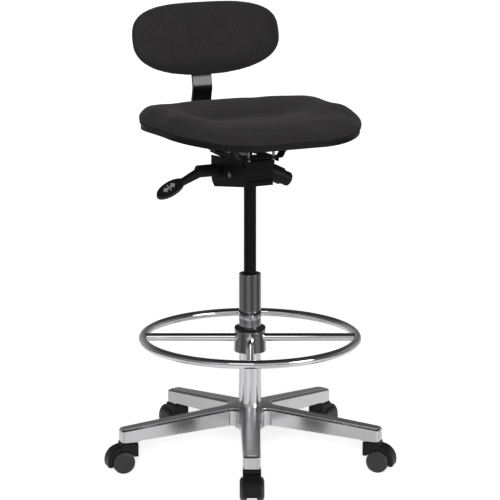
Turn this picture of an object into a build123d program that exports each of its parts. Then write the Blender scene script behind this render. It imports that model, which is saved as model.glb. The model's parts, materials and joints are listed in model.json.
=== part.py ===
from build123d import *
import math
import os

# Drafting chair. Millimetres, +Z up, origin on the floor under the column's axis.
# The seat's front faces -Y, and the height lever is on the -X side.

# ---------------------------------------------------------------- driving dimensions
ARMS = 5
ARM_TURN = -116.2  # direction of the first arm, from +X
ARM_REACH = 287.0  # column axis to caster stem
ARM_TIP_HALF = 18.5
ARM_HUB_HALF = 22.5
ARM_WALL = 4.0
BOSS_BOTTOM = 69.0
TIP_TOP = 96.0
HUB_TOP = 127.0
HUB_BOTTOM = 76.0
HUB_RADIUS = 31.0

WHEEL_RADIUS = 25.0
WHEEL_INNER = 10.75  # middle of the caster to a wheel's inner face
WHEEL_OUTER = 26.5
TRAIL = 16.0
HOOD_RADIUS = 35.5
HOOD_HALF = 19.8
STEM_RADIUS = 5.5
AXLE_RADIUS = 3.0

COLUMN_RADIUS = 25.0
COLUMN_BORE = 23.0
COLUMN_TOP = 432.0
COLUMN_BOTTOM = 68.0
COLUMN_TAPER = 0.8  # how much the radius loses from the hub's top to the column's foot

RING_TURN = -27.0  # direction of the first spoke, from +X
RING_RADIUS = 241.0
RING_HEIGHT = 284.0
RING_TUBE = 9.3
RING_WALL = 1.5
RING_HUB_BOTTOM = 253.0
RING_HUB_TOP = 303.0
SPOKES = 4

CYLINDER_RADIUS = 14.0
CYLINDER_BORE = 12.0
CYLINDER_BOTTOM = 300.0
CYLINDER_TOP = 690.0
TAPER_START = 630.0
ROD_RADIUS = 5.0
BUTTON_TOP = 696.0
RUNNING = 0.05  # radial clearance of a shaft that turns or slides in its hole

HOUSING_HALF = 33.0
SHEET = 2.5
FRONT_PIVOT = (-35.0, 685.0)  # (Y, Z)
REAR_PIVOT = (31.0, 654.0)
LINK = (57.8, 688.0)
LEVER_Y = 90.0
LEVER_Z = 655.0
LEVER_PIVOT_X = 26.8
LEVER_ROD = 5.0
LEVER_SLEEVE = 14.0

PLATE_TOP = 702.0
PLATE_SHEET = 3.0
FLANGE_TOP = 725.0
SEAT_WIDTH = 460.0
SEAT_DEPTH = 430.0
SEAT_CORNER = 160.0
SEAT_EDGE = 760.0  # bottom of the seat's edge at the sides and rear
BAND = 13.0  # height of the shell's band under the seam
BAND_INSET = 5.0

BAR_HALF = 24.0
BAR_SHEET = 7.0
BAR_RUN_Z = 702.5
KINK = (240.0, 821.0)  # (Y, Z) where the bar starts to lean back
BACK_LEAN = 12.0
BAR_UPPER = 165.0
PAD_WIDTH = 368.0
PAD_HEIGHT = 168.0
PAD_RISE = 108.0  # along the bar, from the kink to the pad's middle
PAD_REAR = 21.0  # in front of the bar's middle, to the cushion's rear
PAD_FRONT = 66.0
PAD_TOP_POWER = 3.4  # a higher power gives a squarer corner
PAD_BOTTOM_POWER = 2.3
PAD_POINTS = 36
SHELL_REAR = 15.0

LEAN = math.radians(BACK_LEAN)
BACK_PLANE = Plane(
    origin=(0, KINK[0], KINK[1]),
    x_dir=(1, 0, 0),
    z_dir=(0, -math.cos(LEAN), math.sin(LEAN)),
)

FORWARD = Axis((0, 0, 0), BACK_PLANE.z_dir)  # from the bar towards the sitter's back

os.makedirs("parts", exist_ok=True)


def turned(points):
    """A piece turned about the Z axis from its (radius, height) outline."""
    with BuildPart() as piece:
        with BuildSketch(Plane.XZ):
            with BuildLine():
                Polyline(*points, close=True)
            make_face()
        revolve(axis=Axis.Z)
    return piece


def cross_pin(half_length, radius, place, head_radius=0.0, head_from=0.0, head_to=0.0):
    """A pin along X at (Y, Z), with a head at each end where head_radius is given."""
    with BuildPart() as pin:
        with BuildSketch(Plane.YZ):
            with Locations(place):
                Circle(radius)
        extrude(amount=half_length, both=True)
        if head_radius:
            for side in (1, -1):
                with BuildSketch(Plane.YZ.offset(side * head_from)):
                    with Locations(place):
                        Circle(head_radius)
                extrude(amount=side * (head_to - head_from))
    return pin


def radius_of(vertex):
    return math.hypot(vertex.X, vertex.Y)


def column_radius(height):
    """Outer radius of the column's tapered foot."""
    drop = (HUB_TOP - height) / (HUB_TOP - COLUMN_BOTTOM)
    return COLUMN_RADIUS - COLUMN_TAPER * max(0.0, drop)


def cylinder_radius(height):
    """Outer radius of the gas cylinder, which narrows by 1 mm into its socket."""
    rise = (height - TAPER_START) / (CYLINDER_TOP - TAPER_START)
    return CYLINDER_RADIUS - max(0.0, rise)


# ---------------------------------------------------------------- base star
ARM_END = ARM_REACH + ARM_TIP_HALF
with BuildSketch() as star_plan:
    Circle(HUB_RADIUS + 4)
    with PolarLocations(0, ARMS, start_angle=ARM_TURN):
        Polygon(
            (0, -ARM_HUB_HALF - 0.8),
            (ARM_END, -ARM_TIP_HALF),
            (ARM_END, ARM_TIP_HALF),
            (0, ARM_HUB_HALF + 0.8),
            align=None,
        )
    fillet([v for v in star_plan.vertices() if radius_of(v) > ARM_REACH], radius=9)
    fillet([v for v in star_plan.vertices() if radius_of(v) < 60], radius=22)


def star_envelope(top_offset, bottom_offset=0.0):
    """The turned block that gives the arms their sloping top and underside."""
    top = top_offset
    low = bottom_offset
    return turned(
        [
            (0, HUB_TOP + top),
            (34, HUB_TOP + top),
            (ARM_END + 5, TIP_TOP + top),
            (ARM_END + 5, BOSS_BOTTOM + low),
            (ARM_REACH - 18, BOSS_BOTTOM + low),
            (ARM_REACH - 24, BOSS_BOTTOM + 3 + low),
            (60, HUB_BOTTOM + 12 + low),
            (40, HUB_BOTTOM + 12 + low),
            (36, HUB_BOTTOM + low),
            (0, HUB_BOTTOM + low),
        ]
    )


with BuildPart() as pocket:
    with BuildSketch(Plane.XY.offset(BOSS_BOTTOM - 10)):
        add(star_plan.sketch)
        offset(amount=-ARM_WALL, kind=Kind.INTERSECTION)
        Circle(HUB_RADIUS + 3, mode=Mode.SUBTRACT)
        with PolarLocations(ARM_REACH, ARMS, start_angle=ARM_TURN):
            Circle(13, mode=Mode.SUBTRACT)
            with Locations((-98, 0), (-178, 0)):
                Rectangle(4, 60, mode=Mode.SUBTRACT)
    extrude(amount=80)
    add(star_envelope(-6, -20).part, mode=Mode.INTERSECT)

with BuildPart() as base_star:
    with BuildSketch():
        add(star_plan.sketch)
    extrude(amount=HUB_TOP + 10)
    add(star_envelope(0).part, mode=Mode.INTERSECT)
    with BuildPart(mode=Mode.PRIVATE) as ridge:
        with BuildSketch():
            add(star_plan.sketch)
            offset(amount=-6.5, kind=Kind.INTERSECTION)
        extrude(amount=HUB_TOP + 10)
        add(star_envelope(1.6).part, mode=Mode.INTERSECT)
    top_edges = [e for e in base_star.edges() if e.bounding_box().min.Z > TIP_TOP - 4]
    chamfer([e for e in top_edges if radius_of(e.vertices()[0]) > 36], length=3)
    add(ridge.part)
    add(pocket.part, mode=Mode.SUBTRACT)
    with PolarLocations(ARM_REACH, ARMS, start_angle=ARM_TURN):
        with Locations((0, 0, BOSS_BOTTOM)):
            Cylinder(
                STEM_RADIUS + RUNNING,
                23,
                align=(Align.CENTER, Align.CENTER, Align.MIN),
                mode=Mode.SUBTRACT,
            )
    with BuildSketch(Plane.XZ):
        with BuildLine():
            Polyline(
                (0, HUB_BOTTOM - 1),
                (column_radius(HUB_BOTTOM - 1), HUB_BOTTOM - 1),
                (COLUMN_RADIUS, HUB_TOP),
                (COLUMN_RADIUS, HUB_TOP + 10),
                (0, HUB_TOP + 10),
                close=True,
            )
        make_face()
    revolve(axis=Axis.Z, mode=Mode.SUBTRACT)
base_star.part.label = "base_star"
export_step(base_star.part, "parts/base_star.step")

# ---------------------------------------------------------------- column
column_tube = turned(
    [
        (ROD_RADIUS - 1 + RUNNING, COLUMN_BOTTOM),
        (column_radius(COLUMN_BOTTOM), COLUMN_BOTTOM),
        (COLUMN_RADIUS, HUB_TOP),
        (COLUMN_RADIUS, COLUMN_TOP - 1.2),
        (COLUMN_RADIUS - 1.2, COLUMN_TOP),
        (COLUMN_BORE, COLUMN_TOP),
        (COLUMN_BORE, COLUMN_BOTTOM + 3),
        (ROD_RADIUS - 1 + RUNNING, COLUMN_BOTTOM + 3),
    ]
)
column_tube.part.label = "column_tube"
export_step(column_tube.part, "parts/column_tube.step")

BUSH_TOP = COLUMN_TOP - 1
column_bush = turned(
    [
        (CYLINDER_RADIUS + RUNNING, BUSH_TOP - 80),
        (COLUMN_BORE, BUSH_TOP - 80),
        (COLUMN_BORE, BUSH_TOP - 1),
        (COLUMN_BORE - 1.5, BUSH_TOP),
        (CYLINDER_RADIUS + 1.5, BUSH_TOP),
        (CYLINDER_RADIUS + RUNNING, BUSH_TOP - 2),
    ]
)
column_bush.part.label = "column_bush"
export_step(column_bush.part, "parts/column_bush.step")

BEARING_FLOOR = COLUMN_BOTTOM + 3
with BuildPart() as thrust_bearing:
    with BuildSketch(Plane.XY.offset(BEARING_FLOOR)):
        Circle(15)
        Circle(6, mode=Mode.SUBTRACT)
    extrude(amount=2.5)
    with PolarLocations(10.5, 8):
        with Locations((0, 0, BEARING_FLOOR + 3.2)):
            Sphere(2)
thrust_bearing.part.label = "thrust_bearing"
export_step(thrust_bearing.part, "parts/thrust_bearing.step")

SHOULDER = BEARING_FLOOR + 7.4
CLIP_TOP = COLUMN_BOTTOM - 0.8
PISTON_BOTTOM = CYLINDER_BOTTOM + 30
piston_rod = turned(
    [
        (0, CLIP_TOP - 4),
        (ROD_RADIUS - 1, CLIP_TOP - 4),
        (ROD_RADIUS - 1, CLIP_TOP - 1.6),
        (ROD_RADIUS - 1.8, CLIP_TOP - 1.6),
        (ROD_RADIUS - 1.8, CLIP_TOP),
        (ROD_RADIUS - 1, CLIP_TOP),
        (ROD_RADIUS - 1, SHOULDER),
        (ROD_RADIUS, SHOULDER),
        (ROD_RADIUS, PISTON_BOTTOM),
        (CYLINDER_BORE - 0.07, PISTON_BOTTOM),
        (CYLINDER_BORE - 0.07, PISTON_BOTTOM + 14),
        (0, PISTON_BOTTOM + 14),
    ]
)
piston_rod.part.label = "piston_rod"
export_step(piston_rod.part, "parts/piston_rod.step")

bearing_washer = turned(
    [
        (ROD_RADIUS - 1, SHOULDER - 2),
        (15, SHOULDER - 2),
        (15, SHOULDER),
        (ROD_RADIUS - 1, SHOULDER),
    ]
)
bearing_washer.part.label = "bearing_washer"
export_step(bearing_washer.part, "parts/bearing_washer.step")

with BuildPart() as rod_clip:
    with BuildSketch(Plane.XY.offset(CLIP_TOP - 1.6)):
        Circle(8)
        Circle(ROD_RADIUS - 1.8, mode=Mode.SUBTRACT)
        with Locations((6, 0)):
            Rectangle(6, 4, mode=Mode.SUBTRACT)
    extrude(amount=1.6)
rod_clip.part.label = "rod_clip"
export_step(rod_clip.part, "parts/rod_clip.step")

# ---------------------------------------------------------------- gas cylinder
BUTTON_BORE = 2.5
gas_cylinder = turned(
    [
        (CYLINDER_BORE, CYLINDER_BOTTOM),
        (CYLINDER_RADIUS - 1, CYLINDER_BOTTOM),
        (CYLINDER_RADIUS, CYLINDER_BOTTOM + 3),
        (CYLINDER_RADIUS, TAPER_START),
        (cylinder_radius(CYLINDER_TOP), CYLINDER_TOP),
        (BUTTON_BORE + RUNNING, CYLINDER_TOP),
        (BUTTON_BORE + RUNNING, CYLINDER_TOP - 14),
        (CYLINDER_BORE, CYLINDER_TOP - 18),
    ]
)
gas_cylinder.part.label = "gas_cylinder"
export_step(gas_cylinder.part, "parts/gas_cylinder.step")

cylinder_guide = turned(
    [
        (ROD_RADIUS + RUNNING, CYLINDER_BOTTOM + 1),
        (CYLINDER_BORE, CYLINDER_BOTTOM + 1),
        (CYLINDER_BORE, CYLINDER_BOTTOM + 22),
        (ROD_RADIUS + RUNNING, CYLINDER_BOTTOM + 22),
    ]
)
cylinder_guide.part.label = "cylinder_guide"
export_step(cylinder_guide.part, "parts/cylinder_guide.step")

release_button = turned(
    [
        (0, CYLINDER_TOP - 12),
        (BUTTON_BORE, CYLINDER_TOP - 12),
        (BUTTON_BORE, BUTTON_TOP - 2.6),
        (5, BUTTON_TOP - 2.6),
        (5, BUTTON_TOP - 0.6),
        (4, BUTTON_TOP),
        (0, BUTTON_TOP),
    ]
)
release_button.part.label = "release_button"
export_step(release_button.part, "parts/release_button.step")

# ---------------------------------------------------------------- mechanism housing
HOUSING_SIDE = [
    (-47, 637),
    (113, 613),
    (125, 624),
    (129, 640),
    (129, 683),
    (-47, 693),
]
HOUSING_INSIDE = [
    (-47 + SHEET, 637 + SHEET - 0.4),
    (112, 613 + SHEET),
    (122.8, 625.5),
    (129 - SHEET, 641),
    (129 - SHEET, 720),
    (-47 + SHEET, 720),
]
REAR_WALL_TOP = 650.0
with BuildPart() as mech_housing:
    with BuildSketch(Plane.YZ):
        Polygon(*HOUSING_SIDE, align=None)
    extrude(amount=HOUSING_HALF, both=True)
    with BuildSketch(Plane.YZ):
        Polygon(*HOUSING_INSIDE, align=None)
    extrude(amount=HOUSING_HALF - SHEET, both=True, mode=Mode.SUBTRACT)
    with Locations((0, 125, REAR_WALL_TOP)):
        Box(
            2 * (HOUSING_HALF - SHEET),
            20,
            60,
            align=(Align.CENTER, Align.CENTER, Align.MIN),
            mode=Mode.SUBTRACT,
        )
    with Locations((0, 0, 600)):
        Cylinder(
            CYLINDER_RADIUS + 0.5,
            60,
            align=(Align.CENTER, Align.CENTER, Align.MIN),
            mode=Mode.SUBTRACT,
        )
    # folded ledge along the foot of the front wall
    with BuildSketch(Plane.YZ):
        Polygon((-47, 637), (-53, 639), (-53, 647), (-47, 650), align=None)
    extrude(amount=HOUSING_HALF - 3, both=True)
    with BuildSketch(Plane.YZ):
        with Locations(FRONT_PIVOT):
            Circle(4)
        with Locations(REAR_PIVOT):
            Circle(5)
        with Locations((LEVER_Y, LEVER_Z)):
            Circle(LEVER_ROD + 1.8)
    extrude(amount=HOUSING_HALF + 5, both=True, mode=Mode.SUBTRACT)
mech_housing.part.label = "mech_housing"
export_step(mech_housing.part, "parts/mech_housing.step")

with BuildPart() as taper_socket:
    with BuildSketch(Plane.XZ):
        with BuildLine():
            Polyline(
                (CYLINDER_RADIUS, 620),
                (20, 620),
                (20, CYLINDER_TOP - 4),
                (18, CYLINDER_TOP - 2),
                (cylinder_radius(CYLINDER_TOP - 2), CYLINDER_TOP - 2),
                (CYLINDER_RADIUS, TAPER_START),
                close=True,
            )
        make_face()
    revolve(axis=Axis.Z)
    with BuildSketch(Plane.YZ):
        Polygon(*HOUSING_INSIDE, align=None)
    extrude(amount=HOUSING_HALF - SHEET, both=True, mode=Mode.INTERSECT)
taper_socket.part.label = "taper_socket"
export_step(taper_socket.part, "parts/taper_socket.step")

front_pivot_pin = cross_pin(37.2, 4, FRONT_PIVOT, 6, 37.2, 39.4)
front_pivot_pin.part.label = "front_pivot_pin"
export_step(front_pivot_pin.part, "parts/front_pivot_pin.step")

rear_pivot_pin = cross_pin(HOUSING_HALF, 5, REAR_PIVOT, 7, HOUSING_HALF, HOUSING_HALF + 3)
rear_pivot_pin.part.label = "rear_pivot_pin"
export_step(rear_pivot_pin.part, "parts/rear_pivot_pin.step")

EAR_INNER = 23.0
with BuildPart() as lever_brackets:
    for side in (-1, 1):
        middle = side * (HOUSING_HALF - SHEET + EAR_INNER) / 2
        with Locations((middle, LEVER_Y - 9, LEVER_Z), (middle, LEVER_Y + 9, LEVER_Z)):
            Box(HOUSING_HALF - SHEET - EAR_INNER, 2.5, 16)
    for side in (-1, 1):
        with Locations((side * LEVER_PIVOT_X, LEVER_Y, LEVER_Z)):
            Cylinder(2.5, 40, rotation=(90, 0, 0), mode=Mode.SUBTRACT)
lever_brackets.part.label = "lever_brackets"
export_step(lever_brackets.part, "parts/lever_brackets.step")

with BuildPart() as lever_pins:
    with Locations(
        (-LEVER_PIVOT_X, LEVER_Y, LEVER_Z),
        (LEVER_PIVOT_X, LEVER_Y, LEVER_Z),
    ):
        Cylinder(2.5, 22, rotation=(90, 0, 0))
lever_pins.part.label = "lever_pins"
export_step(lever_pins.part, "parts/lever_pins.step")

# ---------------------------------------------------------------- levers
SLEEVE_START = HOUSING_HALF + 3
LEFT_SLEEVE_END = 88.0
RIGHT_SLEEVE_END = 70.0


def lever_rod(side, outer_end, inner_end):
    """The round rod of a lever, bored across for its pivot pin."""
    with BuildPart() as rod:
        with BuildSketch(Plane.YZ.offset(side * inner_end)):
            with Locations((LEVER_Y, LEVER_Z)):
                Circle(LEVER_ROD)
        extrude(amount=side * (outer_end - inner_end))
        with Locations((side * LEVER_PIVOT_X, LEVER_Y, LEVER_Z)):
            Cylinder(2.5 + RUNNING, 30, rotation=(90, 0, 0), mode=Mode.SUBTRACT)
    return rod


TONGUE_BOTTOM = BUTTON_TOP + 0.3
with BuildPart() as height_lever_shaft:
    add(lever_rod(-1, LEFT_SLEEVE_END - 6, 10).part)
    with Locations((-13, LEVER_Y, LEVER_Z)):
        Box(6, 8, TONGUE_BOTTOM + 3 - LEVER_Z, align=(Align.CENTER, Align.CENTER, Align.MIN))
    with Locations((-4, -6, TONGUE_BOTTOM)):
        Box(20, LEVER_Y + 10, 3, align=(Align.CENTER, Align.MIN, Align.MIN))
height_lever_shaft.part.label = "height_lever_shaft"
export_step(height_lever_shaft.part, "parts/height_lever_shaft.step")

with BuildPart() as tilt_lever_shaft:
    add(lever_rod(1, RIGHT_SLEEVE_END - 6, 8).part)
    with Locations((11, LEVER_Y - 6, LEVER_Z)):
        Box(6, 6, 6)
tilt_lever_shaft.part.label = "tilt_lever_shaft"
export_step(tilt_lever_shaft.part, "parts/tilt_lever_shaft.step")

PADDLE_SLOPE = math.radians(25)
PADDLE_ALONG = Vector(-math.cos(PADDLE_SLOPE), 0, -math.sin(PADDLE_SLOPE))
PADDLE_UP = Vector(-math.sin(PADDLE_SLOPE), 0, math.cos(PADDLE_SLOPE))
PADDLE_FACE = PADDLE_UP * math.cos(math.radians(45)) + Vector(0, -math.sin(math.radians(45)), 0)
PADDLE_PLANE = Plane(origin=(-153, LEVER_Y, 621), x_dir=PADDLE_ALONG, z_dir=PADDLE_FACE)
with BuildPart() as height_lever_grip:
    with BuildSketch(Plane.YZ.offset(-SLEEVE_START)):
        with Locations((LEVER_Y, LEVER_Z)):
            Circle(LEVER_SLEEVE)
    extrude(amount=-(LEFT_SLEEVE_END - SLEEVE_START))
    fillet(height_lever_grip.edges().filter_by(GeomType.CIRCLE), radius=2)
    with BuildSketch(Plane(origin=(-74, LEVER_Y, 656), z_dir=(-0.88, 0, -0.47))):
        Circle(12)
    with BuildSketch(Plane(origin=(-128, LEVER_Y, 632), z_dir=(-0.9, 0, -0.44))):
        Circle(8.5)
    loft()
    with BuildSketch(PADDLE_PLANE.offset(-6)):
        Ellipse(36, 16)
    extrude(amount=12)
    with BuildSketch(Plane.YZ.offset(-LEFT_SLEEVE_END + 6)):
        with Locations((LEVER_Y, LEVER_Z)):
            Circle(LEVER_ROD)
    extrude(amount=60, mode=Mode.SUBTRACT)
height_lever_grip.part.label = "height_lever_grip"
export_step(height_lever_grip.part, "parts/height_lever_grip.step")

GRIP_SLOPE = math.radians(25)
GRIP_ALONG = Vector(math.cos(GRIP_SLOPE), 0, -math.sin(GRIP_SLOPE))
GRIP_PLANE = Plane(
    origin=(RIGHT_SLEEVE_END - 4, LEVER_Y, LEVER_Z),
    x_dir=(0, 1, 0),
    z_dir=GRIP_ALONG,
)
with BuildPart() as tilt_lever_grip:
    with BuildSketch(Plane.YZ.offset(SLEEVE_START)):
        with Locations((LEVER_Y, LEVER_Z)):
            Circle(LEVER_SLEEVE)
    extrude(amount=RIGHT_SLEEVE_END - SLEEVE_START)
    with BuildSketch(GRIP_PLANE):
        Circle(13)
    with BuildSketch(GRIP_PLANE.offset(22)):
        Circle(20)
    loft()
    with BuildSketch(GRIP_PLANE.offset(22)):
        Circle(20)
    extrude(amount=42)
    with BuildSketch(GRIP_PLANE.offset(64)):
        Circle(16.5)
    extrude(amount=24)
    fillet(tilt_lever_grip.faces().sort_by(Axis(GRIP_PLANE.origin, GRIP_ALONG))[-1].edges(), radius=4)
    with BuildSketch(Plane.YZ.offset(RIGHT_SLEEVE_END - 6)):
        with Locations((LEVER_Y, LEVER_Z)):
            Circle(LEVER_ROD)
    extrude(amount=-60, mode=Mode.SUBTRACT)
tilt_lever_grip.part.label = "tilt_lever_grip"
export_step(tilt_lever_grip.part, "parts/tilt_lever_grip.step")

# ---------------------------------------------------------------- back bracket and bar
BRACKET_HALF = 22.0
BRACKET_REAR = 142.0
BAR_BOTTOM = BAR_RUN_Z - BAR_SHEET / 2
with BuildPart() as back_bracket:
    with BuildSketch(Plane.YZ):
        with Locations(REAR_PIVOT):
            Circle(13)
        with Locations(LINK):
            Circle(8)
        make_hull()
        Polygon(
            (LINK[0] - 4, LINK[1] + 7),
            (100, BAR_BOTTOM),
            (BRACKET_REAR, BAR_BOTTOM),
            (BRACKET_REAR, 684),
            (85, 681),
            (LINK[0], 672),
            align=None,
        )
    extrude(amount=BRACKET_HALF, both=True)
    with Locations((0, 40, 690)):
        Box(2 * BRACKET_HALF - 6, 120, 120, mode=Mode.SUBTRACT)
    with Locations((0, 100, BAR_BOTTOM - 3)):
        Box(
            2 * BRACKET_HALF - 6,
            100,
            60,
            align=(Align.CENTER, Align.MIN, Align.MAX),
            mode=Mode.SUBTRACT,
        )
    with BuildSketch(Plane.YZ):
        with Locations(REAR_PIVOT):
            Circle(5 + RUNNING)
        with Locations(LINK):
            Circle(4)
    extrude(amount=BRACKET_HALF + 2, both=True, mode=Mode.SUBTRACT)
    with BuildSketch(Plane.XY.offset(BAR_BOTTOM - 10)):
        with Locations((-11, 131), (11, 131)):
            Circle(4)
    extrude(amount=20, mode=Mode.SUBTRACT)
back_bracket.part.label = "back_bracket"
export_step(back_bracket.part, "parts/back_bracket.step")

SECTOR_RADIUS = 50.0
with BuildPart() as lock_sector:
    with BuildSketch(Plane.YZ):
        with Locations(REAR_PIVOT):
            Circle(8)
    extrude(amount=BRACKET_HALF - 3, both=True)
    with BuildSketch(Plane.YZ.offset(8)):
        with BuildLine():
            Polyline(
                (REAR_PIVOT[0], REAR_PIVOT[1] - 5),
                (REAR_PIVOT[0] + 47, REAR_PIVOT[1] - 16),
                (REAR_PIVOT[0] + SECTOR_RADIUS, REAR_PIVOT[1]),
                (REAR_PIVOT[0] + 47, REAR_PIVOT[1] + 16),
                (REAR_PIVOT[0], REAR_PIVOT[1] + 5),
                close=True,
            )
        make_face()
        with Locations(REAR_PIVOT):
            with PolarLocations(SECTOR_RADIUS, 5, start_angle=-14, angular_range=28):
                Rectangle(6, 3, mode=Mode.SUBTRACT)
    extrude(amount=4)
    with BuildSketch(Plane.YZ):
        with Locations(REAR_PIVOT):
            Circle(5 + RUNNING)
    extrude(amount=BRACKET_HALF, both=True, mode=Mode.SUBTRACT)
lock_sector.part.label = "lock_sector"
export_step(lock_sector.part, "parts/lock_sector.step")

with BuildPart() as link_pins:
    for side in (-1, 1):
        with BuildSketch(Plane.YZ.offset(side * (BRACKET_HALF - 3))):
            with Locations(LINK):
                Circle(4)
        extrude(amount=side * 10.3)
link_pins.part.label = "link_pins"
export_step(link_pins.part, "parts/link_pins.step")

BAR_TOP_Y = KINK[0] + BAR_UPPER * math.sin(LEAN)
BAR_TOP_Z = KINK[1] + BAR_UPPER * math.cos(LEAN)
with BuildPart() as back_bar:
    with BuildSketch(Plane.YZ):
        with BuildLine():
            FilletPolyline(
                (102, BAR_RUN_Z),
                (268.7, BAR_RUN_Z),
                KINK,
                (BAR_TOP_Y, BAR_TOP_Z),
                radius=[38, 45],
            )
        trace(line_width=BAR_SHEET)
    extrude(amount=BAR_HALF, both=True)
    with BuildSketch(Plane.XY.offset(BAR_RUN_Z - 20)):
        with Locations((-11, 131), (11, 131)):
            Circle(4)
    extrude(amount=40, mode=Mode.SUBTRACT)
    with BuildSketch(BACK_PLANE.offset(-10)):
        with Locations((0, 100)):
            SlotOverall(70, 9, rotation=90)
    extrude(amount=20, mode=Mode.SUBTRACT)
back_bar.part.label = "back_bar"
export_step(back_bar.part, "parts/back_bar.step")

with BuildPart() as back_bar_bolts:
    for x in (-11, 11):
        with BuildSketch(Plane.XY.offset(BAR_RUN_Z + BAR_SHEET / 2)):
            with Locations((x, 131)):
                Circle(6.5)
        extrude(amount=4)
        with BuildSketch(Plane.XY.offset(BAR_BOTTOM - 10)):
            with Locations((x, 131)):
                Circle(4)
        extrude(amount=BAR_SHEET + 10)
        with BuildSketch(Plane.XY.offset(BAR_BOTTOM - 3)):
            with Locations((x, 131)):
                RegularPolygon(6.5, 6)
        extrude(amount=-6)
back_bar_bolts.part.label = "back_bar_bolts"
export_step(back_bar_bolts.part, "parts/back_bar_bolts.step")

SPRING_BOTTOM = 620.5
SPRING_TOP = BAR_BOTTOM - 3.3
SPRING_WIRE = 1.8
SPRING_RADIUS = 10.5
SPRING_TURNS = 8
with BuildPart() as tilt_spring:
    coil_height = SPRING_TOP - SPRING_BOTTOM - 2 * SPRING_WIRE
    with BuildLine():
        coil = Helix(
            pitch=coil_height / SPRING_TURNS,
            height=coil_height,
            radius=SPRING_RADIUS,
            center=(0, 108, SPRING_BOTTOM + SPRING_WIRE),
        )
    with BuildSketch(Plane(origin=coil @ 0, z_dir=coil % 0)):
        Circle(SPRING_WIRE)
    sweep()
tilt_spring.part.label = "tilt_spring"
export_step(tilt_spring.part, "parts/tilt_spring.step")

# ---------------------------------------------------------------- backrest
with BuildPart() as backrest_sleeve:
    with BuildSketch(BACK_PLANE.offset(-9)):
        with Locations((0, 105)):
            RectangleRounded(64, 90, 8)
    extrude(amount=SHELL_REAR + 9)
    with BuildSketch(BACK_PLANE.offset(-BAR_SHEET / 2 - 0.4)):
        with Locations((0, 105)):
            Rectangle(2 * BAR_HALF + 0.8, 120)
    extrude(amount=BAR_SHEET + 0.8, mode=Mode.SUBTRACT)
    with BuildSketch(BACK_PLANE.offset(-12)):
        with Locations((0, 105)):
            Circle(4 + RUNNING)
    extrude(amount=8, mode=Mode.SUBTRACT)
backrest_sleeve.part.label = "backrest_sleeve"
export_step(backrest_sleeve.part, "parts/backrest_sleeve.step")

def pad_curve(inset):
    """Draw the back pad's outline, which is flatter along its top than along its bottom."""
    points = []
    for step in range(PAD_POINTS):
        across = math.cos(2 * math.pi * step / PAD_POINTS)
        up = math.sin(2 * math.pi * step / PAD_POINTS)
        power = PAD_TOP_POWER if up > 0 else PAD_BOTTOM_POWER
        x = math.copysign(abs(across) ** (2 / power), across) * (PAD_WIDTH / 2 - inset)
        y = math.copysign(abs(up) ** (2 / power), up) * (PAD_HEIGHT / 2 - inset)
        points.append((x, PAD_RISE + y))
    Spline(*points, periodic=True)


with BuildPart() as backrest_shell:
    with BuildSketch(BACK_PLANE.offset(SHELL_REAR)):
        with BuildLine():
            pad_curve(7)
        make_face()
    extrude(amount=PAD_REAR - SHELL_REAR)
    fillet(backrest_shell.faces().sort_by(FORWARD)[0].edges(), radius=3)
backrest_shell.part.label = "backrest_shell"
export_step(backrest_shell.part, "parts/backrest_shell.step")

with BuildPart() as backrest_cushion:
    with BuildSketch(BACK_PLANE.offset(PAD_REAR)):
        with BuildLine():
            pad_curve(0)
        make_face()
    extrude(amount=PAD_FRONT - PAD_REAR)
    fillet(backrest_cushion.faces().sort_by(FORWARD)[-1].edges(), radius=17)
    fillet(backrest_cushion.faces().sort_by(FORWARD)[0].edges(), radius=8)
backrest_cushion.part.label = "backrest_cushion"
export_step(backrest_cushion.part, "parts/backrest_cushion.step")

with BuildPart() as height_knob:
    with BuildSketch(BACK_PLANE.offset(-32)):
        with Locations((0, 105)):
            Circle(18)
            with PolarLocations(19.5, 8):
                Circle(4, mode=Mode.SUBTRACT)
    extrude(amount=16)
    with BuildSketch(BACK_PLANE.offset(-16)):
        with Locations((0, 105)):
            Circle(10)
    extrude(amount=6.5)
    with BuildSketch(BACK_PLANE.offset(-16)):
        with Locations((0, 105)):
            Circle(4)
    extrude(amount=16 - BAR_SHEET / 2 - 0.5)
height_knob.part.label = "height_knob"
export_step(height_knob.part, "parts/height_knob.step")

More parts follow.
